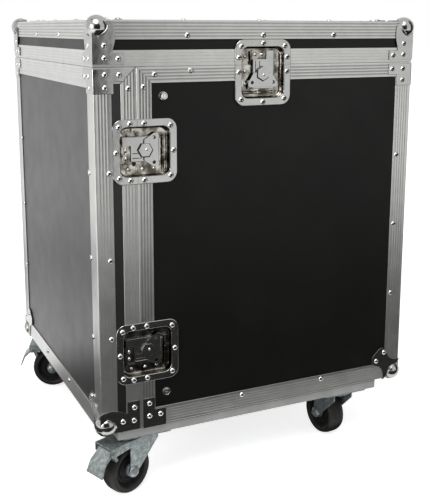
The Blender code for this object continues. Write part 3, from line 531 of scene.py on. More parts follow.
def finishes():
    """Every finish of the case by its name, made on first use."""
    if not FINISHES:
        colours = bpy.context.scene.rack_case_colours
        FINISHES.update(
            black_laminate=laminate(colours.laminate, "black_laminate", 1.3),
            shiny_laminate=laminate(colours.laminate, "shiny_laminate", 1.62),
            ribbed_aluminium=extrusion(colours.aluminium, "ribbed_aluminium"),
            rib_groove=extrusion(scaled(colours.aluminium, GROOVE_SHADE), "rib_groove"),
            bright_nickel=nickel(colours.nickel),
            tarnished_nickel=painted_well_shade(colours.nickel),
            zinc_plate=zinc(colours.zinc),
            black_rubber=rubber(colours.rubber),
            grey_board=grey_board(colours.board),
            rivet_steel=plain_metal("rivet_steel", (0.66, 0.66, 0.65), 0.10, 0.22, 1.0),
            wheel_plastic=moulded(),
            dark_hole=plain_metal("dark_hole", (0.006, 0.006, 0.006), 0.6, 0.8, 0.0),
        )
    return FINISHES


# Sizes and colours that a user would change


def length_choice(name, description, default, low, high):
    return FloatProperty(name=name, description=description, default=default, min=low, max=high,
                         unit="LENGTH")


def colour_choice(name, description, default):
    return FloatVectorProperty(name=name, description=description, default=default, subtype="COLOR",
                               size=3, min=0, max=1)


class RackCaseSizes(bpy.types.PropertyGroup):
    """Sizes of the details that the dressing adds."""

    rib_pitch: length_choice("Rib pitch", "Distance between the ribs of the edging", 0.0049, 0.002, 0.01)
    rib_depth: length_choice("Rib depth", "Depth of the grooves between the ribs", 0.0004, 0.0001, 0.001)
    rivet_radius: length_choice("Rivet radius", "Radius of the blind rivets' heads", 0.0046, 0.002, 0.008)
    rivet_height: length_choice("Rivet height", "Height of the blind rivets' heads", 0.0021, 0.0005, 0.004)
    washer_radius: length_choice("Washer radius", "Radius of the screws' cup washers", 0.0074, 0.004, 0.012)
    tread_grooves: IntProperty(name="Tread grooves", description="Fine grooves round each tyre",
                               default=3, min=0, max=8)


class RackCaseColours(bpy.types.PropertyGroup):
    """Colours of the finishes."""

    laminate: colour_choice("Laminate", "Black laminate of the panels", (0.0038, 0.0038, 0.0032))
    aluminium: colour_choice("Aluminium", "Ribbed edging", (0.52, 0.52, 0.50))
    nickel: colour_choice("Nickel", "Latches and ball corners", (0.42, 0.42, 0.405))
    zinc: colour_choice("Zinc", "Castors and rails", (0.27, 0.30, 0.30))
    rubber: colour_choice("Rubber", "Tyres", (0.016, 0.016, 0.014))
    board: colour_choice("Castor board", "Grey castor board", (0.32, 0.32, 0.31))


# Panels


class RACKCASE_OT_panels(bpy.types.Operator):
    """Gives the ply panels and trays their laminate"""

    bl_idname = "rackcase.panels"
    bl_label = "Panels"

    def execute(self, context):
        for node in ("side_panel_left", "side_panel_right", "rear_panel", "bottom_panel",
                     "top_lid_shell", "front_lid_shell"):
            # The front lid's laminate is a copy with a higher IOR, so its face reflects more and looks
            # lighter: a lit copy of the same laminate.
            finish = "shiny_laminate" if node == "front_lid_shell" else "black_laminate"
            sheet = soften(cad_copy(node, f"{node}_face"), 0.0006, 2, 40.0)
            hand_over(sheet, finish, BODY_OF[node], "black_laminate", node)
        return {"FINISHED"}


# Ribbed edging: an angle's two flanges are measured on the flat of its frame and on its rim


TOP_ANGLE = (0.030, 0.029)
FOOT_ANGLE = (0.030, 0.0305)
POST_ANGLE = (0.0315, 0.0315)
LID_ANGLE = (0.0315, 0.028)
EDGE_BEND = 0.0018
ARRIS = 0.0003
SEAM_ARRIS = 0.0004
GROOVE_RIM = 0.27
GROOVE_FLOOR = 0.10
TONGUE_PLAY = 0.0012
TONGUE_SHOULDER = -0.0050
TONGUE_TIP = -0.0065
TONGUE_CHAMFER = 0.0014


def ribs(length):
    """Distances and depths along one face of the edging: rounded ribs between narrow grooves."""
    sizes = bpy.context.scene.rack_case_sizes
    pitch, depth = sizes.rib_pitch, sizes.rib_depth
    count = int((length - pitch * 0.9) / pitch)
    start = (length - (count - 1) * pitch) / 2
    across = ((-GROOVE_RIM, 0.0), (-GROOVE_FLOOR, depth), (GROOVE_FLOOR, depth), (GROOVE_RIM, 0.0))
    return [(start + i * pitch + pitch * share, deep) for i in range(count) for share, deep in across]


def angle_profile(top, side):
    """Double angle edging with a rounded outer corner and ribs on both faces."""
    outer = [(top, SKIN), (top, ARRIS), (top - ARRIS, 0.0)]
    outer += reversed(ribs(top))
    outer += arc(EDGE_BEND, EDGE_BEND, EDGE_BEND, 270, 180, 4)
    outer += [(depth, along) for along, depth in ribs(side)]
    return outer + [(0.0, side - ARRIS), (ARRIS, side), (SKIN, side), (SKIN, SKIN)]


def seam_face():
    """Outer face of the hybrid edging, from the seam outwards."""
    points = [(SEAM_ARRIS, 0.0), (0.0, SEAM_ARRIS)]
    points += [(depth, along) for along, depth in ribs(SEAM_FLANGE)]
    return points + [(0.0, SEAM_FLANGE - ARRIS), (ARRIS, SEAM_FLANGE), (SKIN, SEAM_FLANGE)]


def seam_back(web):
    """Inner side of the hybrid edging: the web under the ply's edge and the flange behind the ply."""
    return [(SKIN, web), (INNER_FLANGE, web), (INNER_FLANGE, SEAM_INNER), (INNER_FACE, SEAM_INNER),
            (INNER_FACE, 0.0)]


def groove_profile():
    """Hybrid edging of the body, with the groove that takes a lid's tongue."""
    return seam_face() + seam_back(GROOVE_DEPTH + GROOVE_WEB) + [
        (INNER_FLANGE, 0.0), (INNER_FLANGE, GROOVE_DEPTH), (SKIN, GROOVE_DEPTH), (SKIN, 0.0)]


def lid_profile():
    """Hybrid edging of a lid, without its tongue."""
    return seam_face() + seam_back(TONGUE_WEB)


def tongue_profile():
    near, far = SKIN + TONGUE_PLAY, INNER_FLANGE - TONGUE_PLAY
    return [(far, 0.0), (far, TONGUE_SHOULDER), (far - TONGUE_CHAMFER, TONGUE_TIP),
            (near + TONGUE_CHAMFER, TONGUE_TIP), (near, TONGUE_SHOULDER), (near, 0.0)]


UPRIGHT = Matrix.Identity(4)
DOWN = Matrix.Rotation(math.pi, 4, "X")
BACKWARD = Matrix.Rotation(-math.pi / 2, 4, "X")
FORWARD = Matrix.Rotation(math.pi / 2, 4, "X")
LATCH_CUT_HALF = 0.038 + PLATE + GAP
LATCH_CUT_BODY = 0.052 + PLATE + GAP
LATCH_CUT_STRIKE = 0.027 + PLATE + GAP
LATCH_CUT_OUT = 0.002
TOP_LATCH_Y = -0.005
FRONT_LATCH_FROM_END = 0.1285


def latch_places():
    """Name, lid and matrix of each latch: X along the seam, Y to the strike, Z out of the face."""
    places = []
    for side, sx in SIDES:
        out = Vector((sx, 0, 0))
        spots = [("top", "top_lid", Vector((0, 0, 1)), place(sx * HALF_W, TOP_LATCH_Y, SEAM_Z))]
        for level, z in (("upper", SEAM_Z - FRONT_LATCH_FROM_END), ("lower", FRONT_LATCH_FROM_END)):
            spots.append((level, "front_lid", Vector((0, -1, 0)), place(sx * HALF_W, SEAM_Y, z)))
        for level, lid, toward, centre in spots:
            turn = Matrix((toward.cross(out), toward, out)).transposed().to_4x4()
            places.append((f"{level}_{side}", lid, Matrix.Translation(centre) @ turn))
    return places


def notch_for_latches(obj, lid=None):
    """Cuts the edging away where the latch dishes sit, down to its inner flange."""
    cutters = []
    for _, of_lid, matrix in latch_places():
        if lid in (None, of_lid):
            cutter = block((-LATCH_CUT_HALF, -LATCH_CUT_BODY, GAP - INNER_FLANGE),
                           (LATCH_CUT_HALF, LATCH_CUT_STRIKE, LATCH_CUT_OUT), "notch")
            cutters.append(settle(cutter, matrix))
    return cut(obj, cutters)


def edging_piece(name, half_y, profile, turn, centre):
    """A frame of edging of the case's full width, turned and set in its place."""
    obj = edging_frame(HALF_W, half_y, profile, name)
    return settle(obj, Matrix.Translation(centre) @ turn)


def fit_edging(obj, body, node):
    hand_over(smooth(obj), ("ribbed_aluminium", "rib_groove"), body, "ribbed_aluminium", node)


def fit_lid_seam(lid, face, tongue):
    """Notches the face and the tongue of a lid's seam edging for the latches and joins them."""
    notch_for_latches(face, lid)
    notch_for_latches(tongue, lid)
    fit_edging(join(f"{lid}_seam_ribbed_edging", [face, tongue]), lid, f"{lid}_seam_edging")


def top_lid_edgings():
    top = edging_piece("top_lid_ribbed_edging", HALF_D, angle_profile(*TOP_ANGLE), DOWN,
                       place(0, 0, LID_TOP))
    fit_edging(top, "top_lid", "top_lid_edging")

    foot = place(0, 0, SEAM_Z + LID_GAP)
    face = edging_piece("top_lid_seam_face", HALF_D, lid_profile(), UPRIGHT, foot)
    tongue = edging_piece("top_lid_tongue", HALF_D, tongue_profile(), UPRIGHT, foot)
    saw(tongue, place(0, SEAM_Y + SEAM_INNER, 0), (0, -1, 0))
    fit_lid_seam("top_lid", face, tongue)


def body_edgings():
    seam = edging_piece("body_seam_ribbed_edging", HALF_D, groove_profile(), DOWN, place(0, 0, SEAM_Z))
    saw(seam, place(0, SEAM_Y, SEAM_Z), (0, -1, -1))
    fit_edging(notch_for_latches(seam), "case", "body_seam_edging")

    front = edging_piece("body_front_ribbed_edging", HALF_H, groove_profile(), BACKWARD,
                         place(0, SEAM_Y, HALF_H))
    saw(front, place(0, SEAM_Y, SEAM_Z - 2 * GAP), (0, 1, 1))
    fit_edging(notch_for_latches(front), "case", "body_front_edging")

    foot = edging_piece("body_foot", HALF_D, angle_profile(*FOOT_ANGLE), UPRIGHT, place(0, 0, 0))
    saw(foot, place(0, SEAM_Y + SEAM_FLANGE + GAP, 0), (0, -1, 0))
    posts = edging_piece("body_posts", HALF_H, angle_profile(*POST_ANGLE), FORWARD,
                         place(0, HALF_D, HALF_H))
    saw(posts, place(0, 0, SEAM_Z - SEAM_FLANGE - GAP), (0, 0, 1))
    saw(posts, place(0, 0, FOOT_ANGLE[1]), (0, 0, -1))
    fit_edging(join("body_ribbed_edging", [foot, posts]), "case", "body_edging")


def front_lid_edgings():
    back = SEAM_Y - LID_GAP
    rail = edging_piece("front_lid_rail", HALF_D, lid_profile(), DOWN, place(0, 0, SEAM_Z))
    saw(rail, place(0, back - 2 * GAP, SEAM_Z), (0, 1, -1))
    angle = edging_piece("front_lid_angle", HALF_H, angle_profile(*LID_ANGLE), BACKWARD,
                         place(0, -HALF_D, HALF_H))
    saw(angle, place(0, 0, SEAM_Z - SEAM_FLANGE), (0, 0, 1))
    fit_edging(join("front_lid_ribbed_edging", [rail, angle]), "front_lid", "front_lid_edging")

    face = edging_piece("front_lid_seam_face", HALF_H, lid_profile(), FORWARD, place(0, back, HALF_H))
    tongue = edging_piece("front_lid_tongue", HALF_H, tongue_profile(), FORWARD, place(0, back, HALF_H))
    saw(tongue, place(0, 0, SEAM_Z - SEAM_INNER), (0, 0, 1))
    saw(face, place(0, back, SEAM_Z - 2 * GAP), (0, -1, 1))
    fit_lid_seam("front_lid", face, tongue)


class RACKCASE_OT_edging(bpy.types.Operator):
    """Draws the ribbed aluminium edging round the body and both lids"""

    bl_idname = "rackcase.edging"
    bl_label = "Ribbed edging"

    def execute(self, context):
        top_lid_edgings()
        body_edgings()
        front_lid_edgings()
        return {"FINISHED"}


# Corner hardware


PLATE_BEND = 0.0034
SHORTEST_BEND = 0.004
WELD = 0.0006
SLANT = Vector((1.0, 2.3, 5.1))
BALL_INSET = 0.0112
BALL_RADIUS = 0.0182
COLLAR_RADIUS = 0.0016
ON_X = Matrix(((0, 0, -1, 0), (1, 0, 0, 0), (0, 1, 0, 0), (0, 0, 0, 1)))
ON_Y = Matrix(((1, 0, 0, 0), (0, 0, -1, 0), (0, 1, 0, 0), (0, 0, 0, 1)))
ON_Z = Matrix(((1, 0, 0, 0), (0, 1, 0, 0), (0, 0, -1, 0), (0, 0, 0, 1)))
LID_CORNERS = (("rear_right", 1, 1), ("rear_left", -1, 1), ("front_left", -1, -1), ("front_right", 1, -1))


def corner_plates(outlines, name):
    """Bent plates of one corner in its own octant: (outline, matrix from its own plane to the octant)."""
    pieces = [settle(plate(outline, GAP, ON_FACE), turn) for outline, turn in outlines]
    body = cut(rename(pieces[0], name), pieces[1:], "UNION")
    open_mesh(body, "VERT")
    sort_points(body)
    bpy.ops.mesh.remove_doubles(threshold=WELD)
    bpy.ops.mesh.dissolve_limited(angle_limit=math.radians(1.0))
    bpy.ops.mesh.fill_holes(sides=0)
    bpy.ops.mesh.select_mode(type="EDGE")
    choose(body, "edges", on_bend)
    bpy.ops.mesh.bevel(offset=PLATE_BEND, segments=4, affect="EDGES")
    bpy.ops.mesh.select_all(action="SELECT")
    bpy.ops.mesh.delete_loose()
    close_mesh(body)
    return body


def sort_points(obj):
    """Puts the open mesh's points in a fixed order, because a union returns them in a varying one."""
    shape = bmesh.from_edit_mesh(obj.data)
    shape.verts.sort(key=lambda vert: vert.co.dot(SLANT))
    bmesh.update_edit_mesh(obj.data)


def on_bend(edge):
    """True for an edge of the octant's outer arrises, where two plates meet."""
    first, second = (vert.co for vert in edge.verts)
    shared = [abs(a + ON_FACE) < 1e-5 and abs(b + ON_FACE) < 1e-5 for a, b in zip(first, second)]
    return sum(shared) == 2 and (first - second).length > SHORTEST_BEND


def octant(sx, sy, sz, z):
    """From the corner's own positive octant, which the case fills, to its place."""
    return Matrix.Translation(place(sx * HALF_W, sy * HALF_D, z)) @ Matrix.Diagonal((-sx, -sy, -sz, 1))


def lid_leg():
    """Leg of a lid's corner down to the seam, with its branch along the seam."""
    bottom = LID_TOP - SEAM_Z - 0.0045
    branch = bottom - 0.0155
    return [(-ON_FACE, 0.004), (0.026, 0.002), (0.031, 0.004), (0.034, 0.009), (0.0352, 0.016),
            (0.0352, 0.025), (0.0345, 0.032), (0.031, 0.045), (0.031, branch), (0.048, branch),
            (0.048, bottom), (-ON_FACE, bottom)]


def paw():
    """Rounded plate of a ball corner that holds two rivets."""
    half = [(0.034, -0.0015), (0.0355, 0.010), (0.0380, 0.0185), (0.0425, 0.0240), (0.0480, 0.0270),
            (0.0550, 0.0295)]
    first = half + arc(0.0515, 0.0400, 0.0095, -30, 45, 4)
    return first + [(y, x) for x, y in reversed(first)]


def foot_side():
    """Side plate of a front lid's lower corner, with its upright leg beside the seam."""
    right = HALF_D + SEAM_Y - 0.0029
    left = right - 0.0205
    leg_top = 0.049
    arch = arc(0.016, -0.012, 0.050, 112, 59, 9)
    return [(-ON_FACE, 0.0), (right, 0.0), (right, leg_top), (left, leg_top), (left, arch[-1][1])] \
        + arch[-1:0:-1] + [(-ON_FACE, arch[0][1])]


def brace():
    """One arm of a top corner brace, with the tab that holds its third rivet."""
    return [(-ON_FACE, 0.0025), (0.048, 0.0025), (0.048, 0.021), (0.031, 0.021), (0.031, 0.0395),
            (-ON_FACE, 0.0395)]


def pressed(obj):
    """Rounds a pressed plate's edges."""
    return soften(obj, 0.00055, 2, 35.0)


def ball_corner(outlines, name):
    """Ball corner in its own octant: bent plates, the ball and the collar pressed round it."""
    body = pressed(corner_plates(list(zip(outlines, (ON_X, ON_Y, ON_Z))), name))
    put_down()
    centre = (BALL_INSET,) * 3
    bpy.ops.mesh.primitive_uv_sphere_add(segments=40, ring_count=20, radius=BALL_RADIUS, location=centre)
    ball = settle(rename(bpy.context.object, "ball"))
    ridge = spun(arc(BALL_RADIUS - 0.0004, 0.0, COLLAR_RADIUS, 0, 330, 11), 48, "collar")
    collar = settle(ridge, facing(centre, (1, 1, 1)))
    case = block((-GAP,) * 3, (0.09,) * 3, "case_block")
    second_case = duplicate(case, "case_block_2")
    cut(ball, [case])
    cut(collar, [second_case])
    return smooth(join(name, [body, ball, collar]), 35.0)


def foot_brace(sx):
    """Small L brace over the foot of the body's front seam."""
    outline = [(0, -0.0015), (0.0395, -0.0015), (0.0395, 0.0285), (0.0205, 0.0285), (0.0205, 0.0495),
               (0, 0.0495)]
    turn = Matrix(((0, 0, sx, 0), (1, 0, 0, 0), (0, 1, 0, 0), (0, 0, 0, 1)))
    corner = place(sx * HALF_W, SEAM_Y + 0.003, 0)
    return pressed(settle(plate(outline, GAP, ON_FACE), Matrix.Translation(corner) @ turn))


def side_corners(side, sx, rear, front):
    """Lower ball corners of the body and the front lid on one side, and that side's braces."""
    piece = duplicate(rear, f"body_ball_corner_{side}", octant(sx, 1, -1, 0))
    hand_over_nickel(piece, "case", f"body_corner_{side}")
    piece = duplicate(front, f"front_lid_ball_corner_{side}", octant(sx, -1, -1, 0))
    hand_over_nickel(piece, "front_lid", f"front_lid_corner_{side}")
    for sy, body in ((1, "case"), (-1, "front_lid")):
        bent = pressed(corner_plates([(brace(), ON_X), (brace(), ON_Y)], "brace"))
        settle(bent, octant(sx, sy, 1, SEAM_Z))
        hand_over_nickel(rename(bent, f"{body}_top_brace_{side}"), body)
    hand_over_nickel(rename(foot_brace(sx), f"case_foot_brace_{side}"), "case")


class RACKCASE_OT_corners(bpy.types.Operator):
    """Fits the ball corners and the riveted braces"""

    bl_idname = "rackcase.corners"
    bl_label = "Corners and braces"

    def execute(self, context):
        lid = ball_corner((lid_leg(), lid_leg(), paw()), "lid_corner")
        for name, sx, sy in LID_CORNERS:
            piece = duplicate(lid, f"lid_ball_corner_{name}", octant(sx, sy, 1, LID_TOP))
            hand_over_nickel(piece, "top_lid", f"lid_corner_{name}")
        rear = ball_corner((paw(), paw(), paw()), "rear_corner")
        front = ball_corner((foot_side(), paw(), paw()), "front_corner")
        for side, sx in SIDES:
            side_corners(side, sx, rear, front)
        put_away(lid, rear, front)
        return {"FINISHED"}


# Rivets and screws: spots on the sides are (y, z), those on the ends (x, z), insets from the edge


LID_ALONG = (-0.136, -0.0045, 0.127)
LID_ACROSS = (-0.13, 0.0, 0.13)
LID_SIDE_HEIGHT = 0.6266
LID_END = [(0.078, 0.627)]
LID_TOP_INSET = 0.016
LID_CORNER_INSETS = [(0.0183, 0.6117), (0.0183, 0.5932), (0.0395, 0.5922)]
PAW_INSETS = [(0.0340, 0.0520), (0.0505, 0.0375)]
BRACE_INSETS = [(0.0183, 0.5690), (0.0405, 0.5688), (0.0183, 0.5497)]
CASE_SIDE = [(-0.1903, 0.5684), (-0.2085, 0.5498), (0.1197, 0.0234), (-0.0376, 0.0231)]
CASE_FOOT_BRACE = [(-0.2058, 0.0402), (-0.2061, 0.0186), (-0.187, 0.0191)]
CASE_REAR_FOOT = [(0.0767, 0.021), (0.2, 0.021)]
POST_HEIGHTS = (0.1646, 0.2935, 0.4184)
POST_SIDE_Y = 0.264
POST_REAR_INSET = 0.0225
FRONT_LID_SIDE = [(-0.2325, 0.5482), (-0.265, 0.4207), (-0.266, 0.2846), (-0.267, 0.1580)]
FRONT_LID_LEG = [(-0.2316, 0.0383), (-0.2328, 0.0162), (-0.2514, 0.0174)]
FRONT_LID_BRACE = [(0.2260, 0.5665), (0.2468, 0.567), (0.2478, 0.5494), (0.2229, 0.0514)]
FRONT_LID_END = [(0.0767, 0.021), (0.2346, 0.156), (0.2346, 0.2857), (0.2346, 0.42)]
CLOSED_RIVET = [(-0.1308, 0.573)]
RAIL_SCREWS = [(-0.1763, 0.5353), (-0.1752, 0.0544)]


def rivet_master():
    """Head of a blind rivet about Z, with the hole that its mandrel leaves."""
    sizes = bpy.context.scene.rack_case_sizes
    radius, height = sizes.rivet_radius, sizes.rivet_height
    hole = radius * 0.40
    profile = [(hole, 0.0), (hole, height * 0.92), (hole * 1.15, height), (radius * 0.6, height * 0.9),
               (radius * 0.82, height * 0.6), (radius * 0.96, height * 0.22), (radius, 0.0),
               (radius * 0.9, -0.0002), (hole, -0.0002)]
    return smooth(spun(profile, 14, "rivet"), 50.0)


def mandrel_master():
    """Bottom of a blind rivet's hole with the end of its broken mandrel, finished near-black as painted
    shade.
    """
    sizes = bpy.context.scene.rack_case_sizes
    hole, height = sizes.rivet_radius * 0.41, sizes.rivet_height
    profile = [(0.0, height * 0.62), (hole * 0.5, height * 0.55), (hole * 0.55, height * 0.3),
               (hole, height * 0.25), (hole, height * 0.05), (0.0, height * 0.05)]
    return smooth(spun(profile, 10, "mandrel"), 50.0)


def dome(radius, height):
    """Domed rivet head about Z."""
    profile = [(0.0, height), (radius * 0.45, height * 0.9), (radius * 0.8, height * 0.55),
               (radius, 0.0), (0.0, 0.0)]
    return smooth(spun(profile, 16, "dome"), 50.0)


def washer_screw():
    """Cross head screw in a cup washer, about Z."""
    radius = bpy.context.scene.rack_case_sizes.washer_radius
    cup = spun([(0.0042, 0.0), (0.0044, 0.0008), (radius * 0.72, 0.0024), (radius * 0.86, 0.0022),
                (radius, 0.0003), (radius, 0.0)], 24, "cup")
    put_down()
    bpy.ops.mesh.primitive_cylinder_add(vertices=20, radius=0.0044, depth=0.0022, location=(0, 0, 0.0009))
    head = soften(settle(rename(bpy.context.object, "head")), 0.0005, 2, 40.0)
    long, thin, low, high = 0.0028, 0.0005, 0.0009, 0.003
    cut(head, [block((-x, -y, low), (x, y, high)) for x, y in ((long, thin), (thin, long))])
    # The head takes the second finish, the darker nickel made for the painted shade of the latch wells.
    for face in head.data.polygons:
        face.material_index = 1
    return smooth(join("washer_screw", [cup, head]), 40.0)


def scatter(master, name, spots, body, finish):
    """One object made of copies of the master at (point, normal) spots."""
    copies = [duplicate(master, "copy", facing(point, normal)) for point, normal in spots]
    hand_over(join(name, copies), finish, body, "bright_nickel")
    put_away(master)


def set_rivets(name, spots, body):
    """Rivet heads and the painted shade at the bottoms of their holes, at (point, normal) spots."""
    rivet, mandrel = rivet_master(), mandrel_master()
    scatter(rivet, name, spots, body, "rivet_steel")
    scatter(mandrel, f"{name}_holes", spots, body, "dark_hole")


def side_spots(points, lift):
    """Spots on both side faces from (y, z) in case coordinates."""
    return [(place(sx * (HALF_W + lift), y, z), (sx, 0, 0)) for sx in (-1, 1) for y, z in points]


def end_spots(points, y, ny):
    """Spots on a front or rear face from (x, z), on both halves of the face."""
    return [(place(sx * x, y, z), (0, ny, 0)) for sx in (-1, 1) for x, z in points]


def inset(from_edge, points):
    """Points (distance in from the edge, height) as places outward from the middle."""
    return [(from_edge - a, z) for a, z in points]


def top_lid_rivets():
    corner_sides = [(sy * y, z) for sy in (-1, 1) for y, z in inset(HALF_D, LID_CORNER_INSETS)]
    spots = side_spots([(y, LID_SIDE_HEIGHT) for y in LID_ALONG], 0.0) + side_spots(corner_sides, ON_FACE)
    for ny in (-1, 1):
        spots += end_spots(LID_END, ny * HALF_D, ny)
        spots += end_spots(inset(HALF_W, LID_CORNER_INSETS), ny * (HALF_D + ON_FACE), ny)
    flat = [(sx * (HALF_W - LID_TOP_INSET), y) for sx in (-1, 1) for y in LID_ALONG]
    flat += [(x, sy * (HALF_D - LID_TOP_INSET)) for sy in (-1, 1) for x in LID_ACROSS]
    spots += [(place(x, y, LID_TOP), (0, 0, 1)) for x, y in flat]
    spots += [(place(sx * (HALF_W - a), sy * (HALF_D - b), LID_TOP + ON_FACE), (0, 0, 1))
              for sx in (-1, 1) for sy in (-1, 1) for a, b in PAW_INSETS]
    set_rivets("top_lid_rivets", spots, "top_lid")


def case_rivets():
    spots = side_spots(CASE_SIDE, 0.0)
    for points in (inset(HALF_D, BRACE_INSETS), CASE_FOOT_BRACE, inset(HALF_D, PAW_INSETS)):
        spots += side_spots(points, ON_FACE)
    spots += side_spots([(POST_SIDE_Y, z) for z in POST_HEIGHTS], 0.0)
    for insets in (BRACE_INSETS, PAW_INSETS):
        spots += end_spots(inset(HALF_W, insets), HALF_D + ON_FACE, 1)
    spots += end_spots(CASE_REAR_FOOT, HALF_D, 1)
    spots += end_spots([(HALF_W - POST_REAR_INSET, z) for z in POST_HEIGHTS], HALF_D, 1)
    set_rivets("case_rivets", spots, "case")


def front_lid_rivets():
    spots = side_spots(FRONT_LID_SIDE, 0.0)
    spots += side_spots([(-y, z) for y, z in inset(HALF_D, BRACE_INSETS)], ON_FACE)
    spots += side_spots(FRONT_LID_LEG, ON_FACE)
    spots += end_spots(FRONT_LID_BRACE, -HALF_D - ON_FACE, -1)
    spots += end_spots(FRONT_LID_END, -HALF_D, -1)
    set_rivets("front_lid_rivets", spots, "front_lid")


class RACKCASE_OT_rivets(bpy.types.Operator):
    """Sets the blind rivets and the screws"""

    bl_idname = "rackcase.rivets"
    bl_label = "Rivets and screws"

    def execute(self, context):
        top_lid_rivets()
        case_rivets()
        front_lid_rivets()
        scatter(dome(0.0048, 0.0017), "closed_rivets", side_spots(CLOSED_RIVET, 0.0), "case",
                "ribbed_aluminium")
        scatter(washer_screw(), "rail_screws", side_spots(RAIL_SCREWS, -PLY_OUT), "case",
                ("rivet_steel", "tarnished_nickel"))
        return {"FINISHED"}


# Latches


DISH_HALF, DISH_DOWN, DISH_UP, DISH_CORNER = 0.050, 0.065, 0.040, 0.016
DISH_MIDDLE_Y = -0.0125
DISH_SHEET = 0.001
DISH_SECTION = ((0.0, GAP), (0.0, 0.0009), (0.0003, 0.0013), (0.0008, ON_FACE), (0.0011, ON_FACE),
                (0.0106, ON_FACE), (0.0109, ON_FACE), (0.0114, 0.0013), (0.0117, 0.0009), (0.0119, 0.0002),
                (0.0126, -0.0062), (0.0130, -0.0076), (0.0137, -0.0085), (0.0147, -0.0090), (0.0151, -0.0090))
DISH_FLOOR = -0.0090
BASE_TOP = -0.0072
WELL_RIM = -0.0004
HUB = Vector((0.002, -0.014, 0.0))
HUB_RADIUS = 0.0115
HUB_GAP_RADIUS = 0.0125
PIN_RADIUS = 0.0043
HOOK_TRAVEL = 0.004
HOOK_LOW, HOOK_HIGH = -0.0069, -0.0055
BLADE_LOW, BLADE_HIGH = -0.00405, -0.00255
# Blind rivets on the rim (x, y), domed rivets and pits in the well (x, y, z); a pit is a near-black disc that
# paints the shade of a hole
LATCH_SPOTS = {
    "dish": ([(-0.0435, -0.0112), (0.0435, -0.0112), (-0.039, -0.0545), (0.039, -0.0545), (0, -0.0592)],
             [(-0.028, -0.011, DISH_FLOOR), (-0.0275, -0.031, DISH_FLOOR)],
             []),
    "strike": ([(0, 0.034), (-0.039, 0.0293), (0.039, 0.0293), (-0.0435, 0.0117), (0.0435, 0.0117)],
               [(-0.028, 0.0125, DISH_FLOOR), (-0.0105, 0.0165, BASE_TOP), (0.0016, 0.0165, BASE_TOP)],
               [(-0.0195, 0.003, DISH_FLOOR)]),
}


def pressing(name, outline, rings):
    """Sheet pressed ring by ring from its outline: each ring is (share in X, share in Y, height)."""
    lift = 0.0005
    obj = plate(outline, rings[0][2], rings[0][2] + lift, name)
    open_mesh(obj)
    choose(obj, "faces", lambda face: face.normal.z < 0.5)
    bpy.ops.mesh.delete(type="ONLY_FACE")
    choose(obj, "verts", lambda vert: not vert.link_faces)
    bpy.ops.mesh.delete(type="VERT")
    bpy.ops.mesh.select_all(action="SELECT")
    bpy.ops.transform.translate(value=(0, 0, -lift))
    for (x0, y0, z0), (x1, y1, z1) in zip(rings, rings[1:]):
        bpy.ops.mesh.extrude_region_move(TRANSFORM_OT_translate={"value": (0, 0, z1 - z0)})
        bpy.ops.transform.resize(value=(x1 / x0, y1 / y0, 1.0), center_override=(0.0, DISH_MIDDLE_Y, z1))
    drop_start_face(obj, rings[0][2] + 1e-5)
    bpy.ops.mesh.select_all(action="SELECT")
    bpy.ops.mesh.normals_make_consistent(inside=False)
    bpy.ops.object.mode_set(mode="OBJECT")
    if max(obj.data.polygons, key=lambda face: face.area).normal.z < 0:
        obj.data.flip_normals()
    step = obj.modifiers.new("sheet", "SOLIDIFY")
    step.thickness = DISH_SHEET
    step.offset = -1.0
    apply_all(obj)
    open_mesh(obj)
    close_mesh(obj)
    return obj


def drop_start_face(obj, height):
    """Deletes the whole flat face that the pressing started from, below the height."""
    most_of_dish = 0.0075
    choose(obj, "faces", lambda face: max(vert.co.z for vert in face.verts) < height
           and len(face.verts) > 8 and face.calc_area() > most_of_dish)
    bpy.ops.mesh.delete(type="ONLY_FACE")


def base_plate(x0, y0, x1, y1, radius):
    """Flat plate riveted down in the well."""
    return soften(plate(rounded(x0, y0, x1, y1, radius, 3), DISH_FLOOR, BASE_TOP), 0.0003)


def latch_dishes():
    """Body half and lid half of the dish, pressed in one and sawn apart along the seam."""
    outline = rounded(-DISH_HALF, -DISH_DOWN, DISH_HALF, DISH_UP, DISH_CORNER, 8)
    rings = [(1 - inward / DISH_HALF, 1 - 2 * inward / (DISH_DOWN + DISH_UP), height)
             for inward, height in DISH_SECTION]
    strike = pressing("latch_strike", outline, rings)
    dish = duplicate(strike, "latch_dish")
    saw(dish, (0, -LID_GAP / 2, 0), (0, 1, 0))
    saw(strike, (0, LID_GAP / 2, 0), (0, -1, 0))
    base = base_plate(-0.017, -0.036, 0.024, -0.002, 0.003)
    stop = soften(block((-0.0245, -0.0385, DISH_FLOOR), (-0.0215, -0.0335, -0.0050)), 0.0004)
    keeper = base_plate(-0.017, 0.009, 0.024, 0.0235, 0.002)
    lug = soften(block((-0.0202, 0.0065, DISH_FLOOR), (-0.0188, 0.0215, -0.0048)), 0.0003)
    dish = join("latch_dish", [smooth(dish, 40.0), base, stop, spring_bar()])
    strike = join("latch_strike", [smooth(strike, 40.0), keeper, lug])
    # Faces below the well's rim take the second finish, the darker nickel that paints the shade and dark
    # reflections in the well.
    for part in (dish, strike):
        for face in part.data.polygons:
            face.material_index = int(face.center.z < WELL_RIM)
    return dish, strike


def spring_bar():
    """Bar with its coil spring across the foot of the dish."""
    rod, coil, pitch = 0.0018, 0.0024, 0.0016
    profile = [(0.0, 0.0), (rod, 0.0)]
    for i in range(14):
        along = 0.0012 + i * pitch
        profile += [(rod, along), (coil, along + 0.0004), (coil, along + 0.0009), (rod, along + 0.0013)]
    profile += [(rod, 0.030), (0.0023, 0.0305), (0.0023, 0.040), (rod, 0.0405), (rod, 0.060), (0.0, 0.060)]
    bar = smooth(spun(profile, 16, "bar"), 40.0)
    settle(bar, Matrix.Translation((-0.0365, -0.0445, -0.0071)) @ Matrix.Rotation(math.pi / 2, 4, "Y"))
    ends = [block((x, -0.0475, DISH_FLOOR), (x + 0.0016, -0.0415, -0.0052)) for x in (-0.008, 0.0205)]
    return join("bar", [bar] + [soften(end, 0.0004) for end in ends])


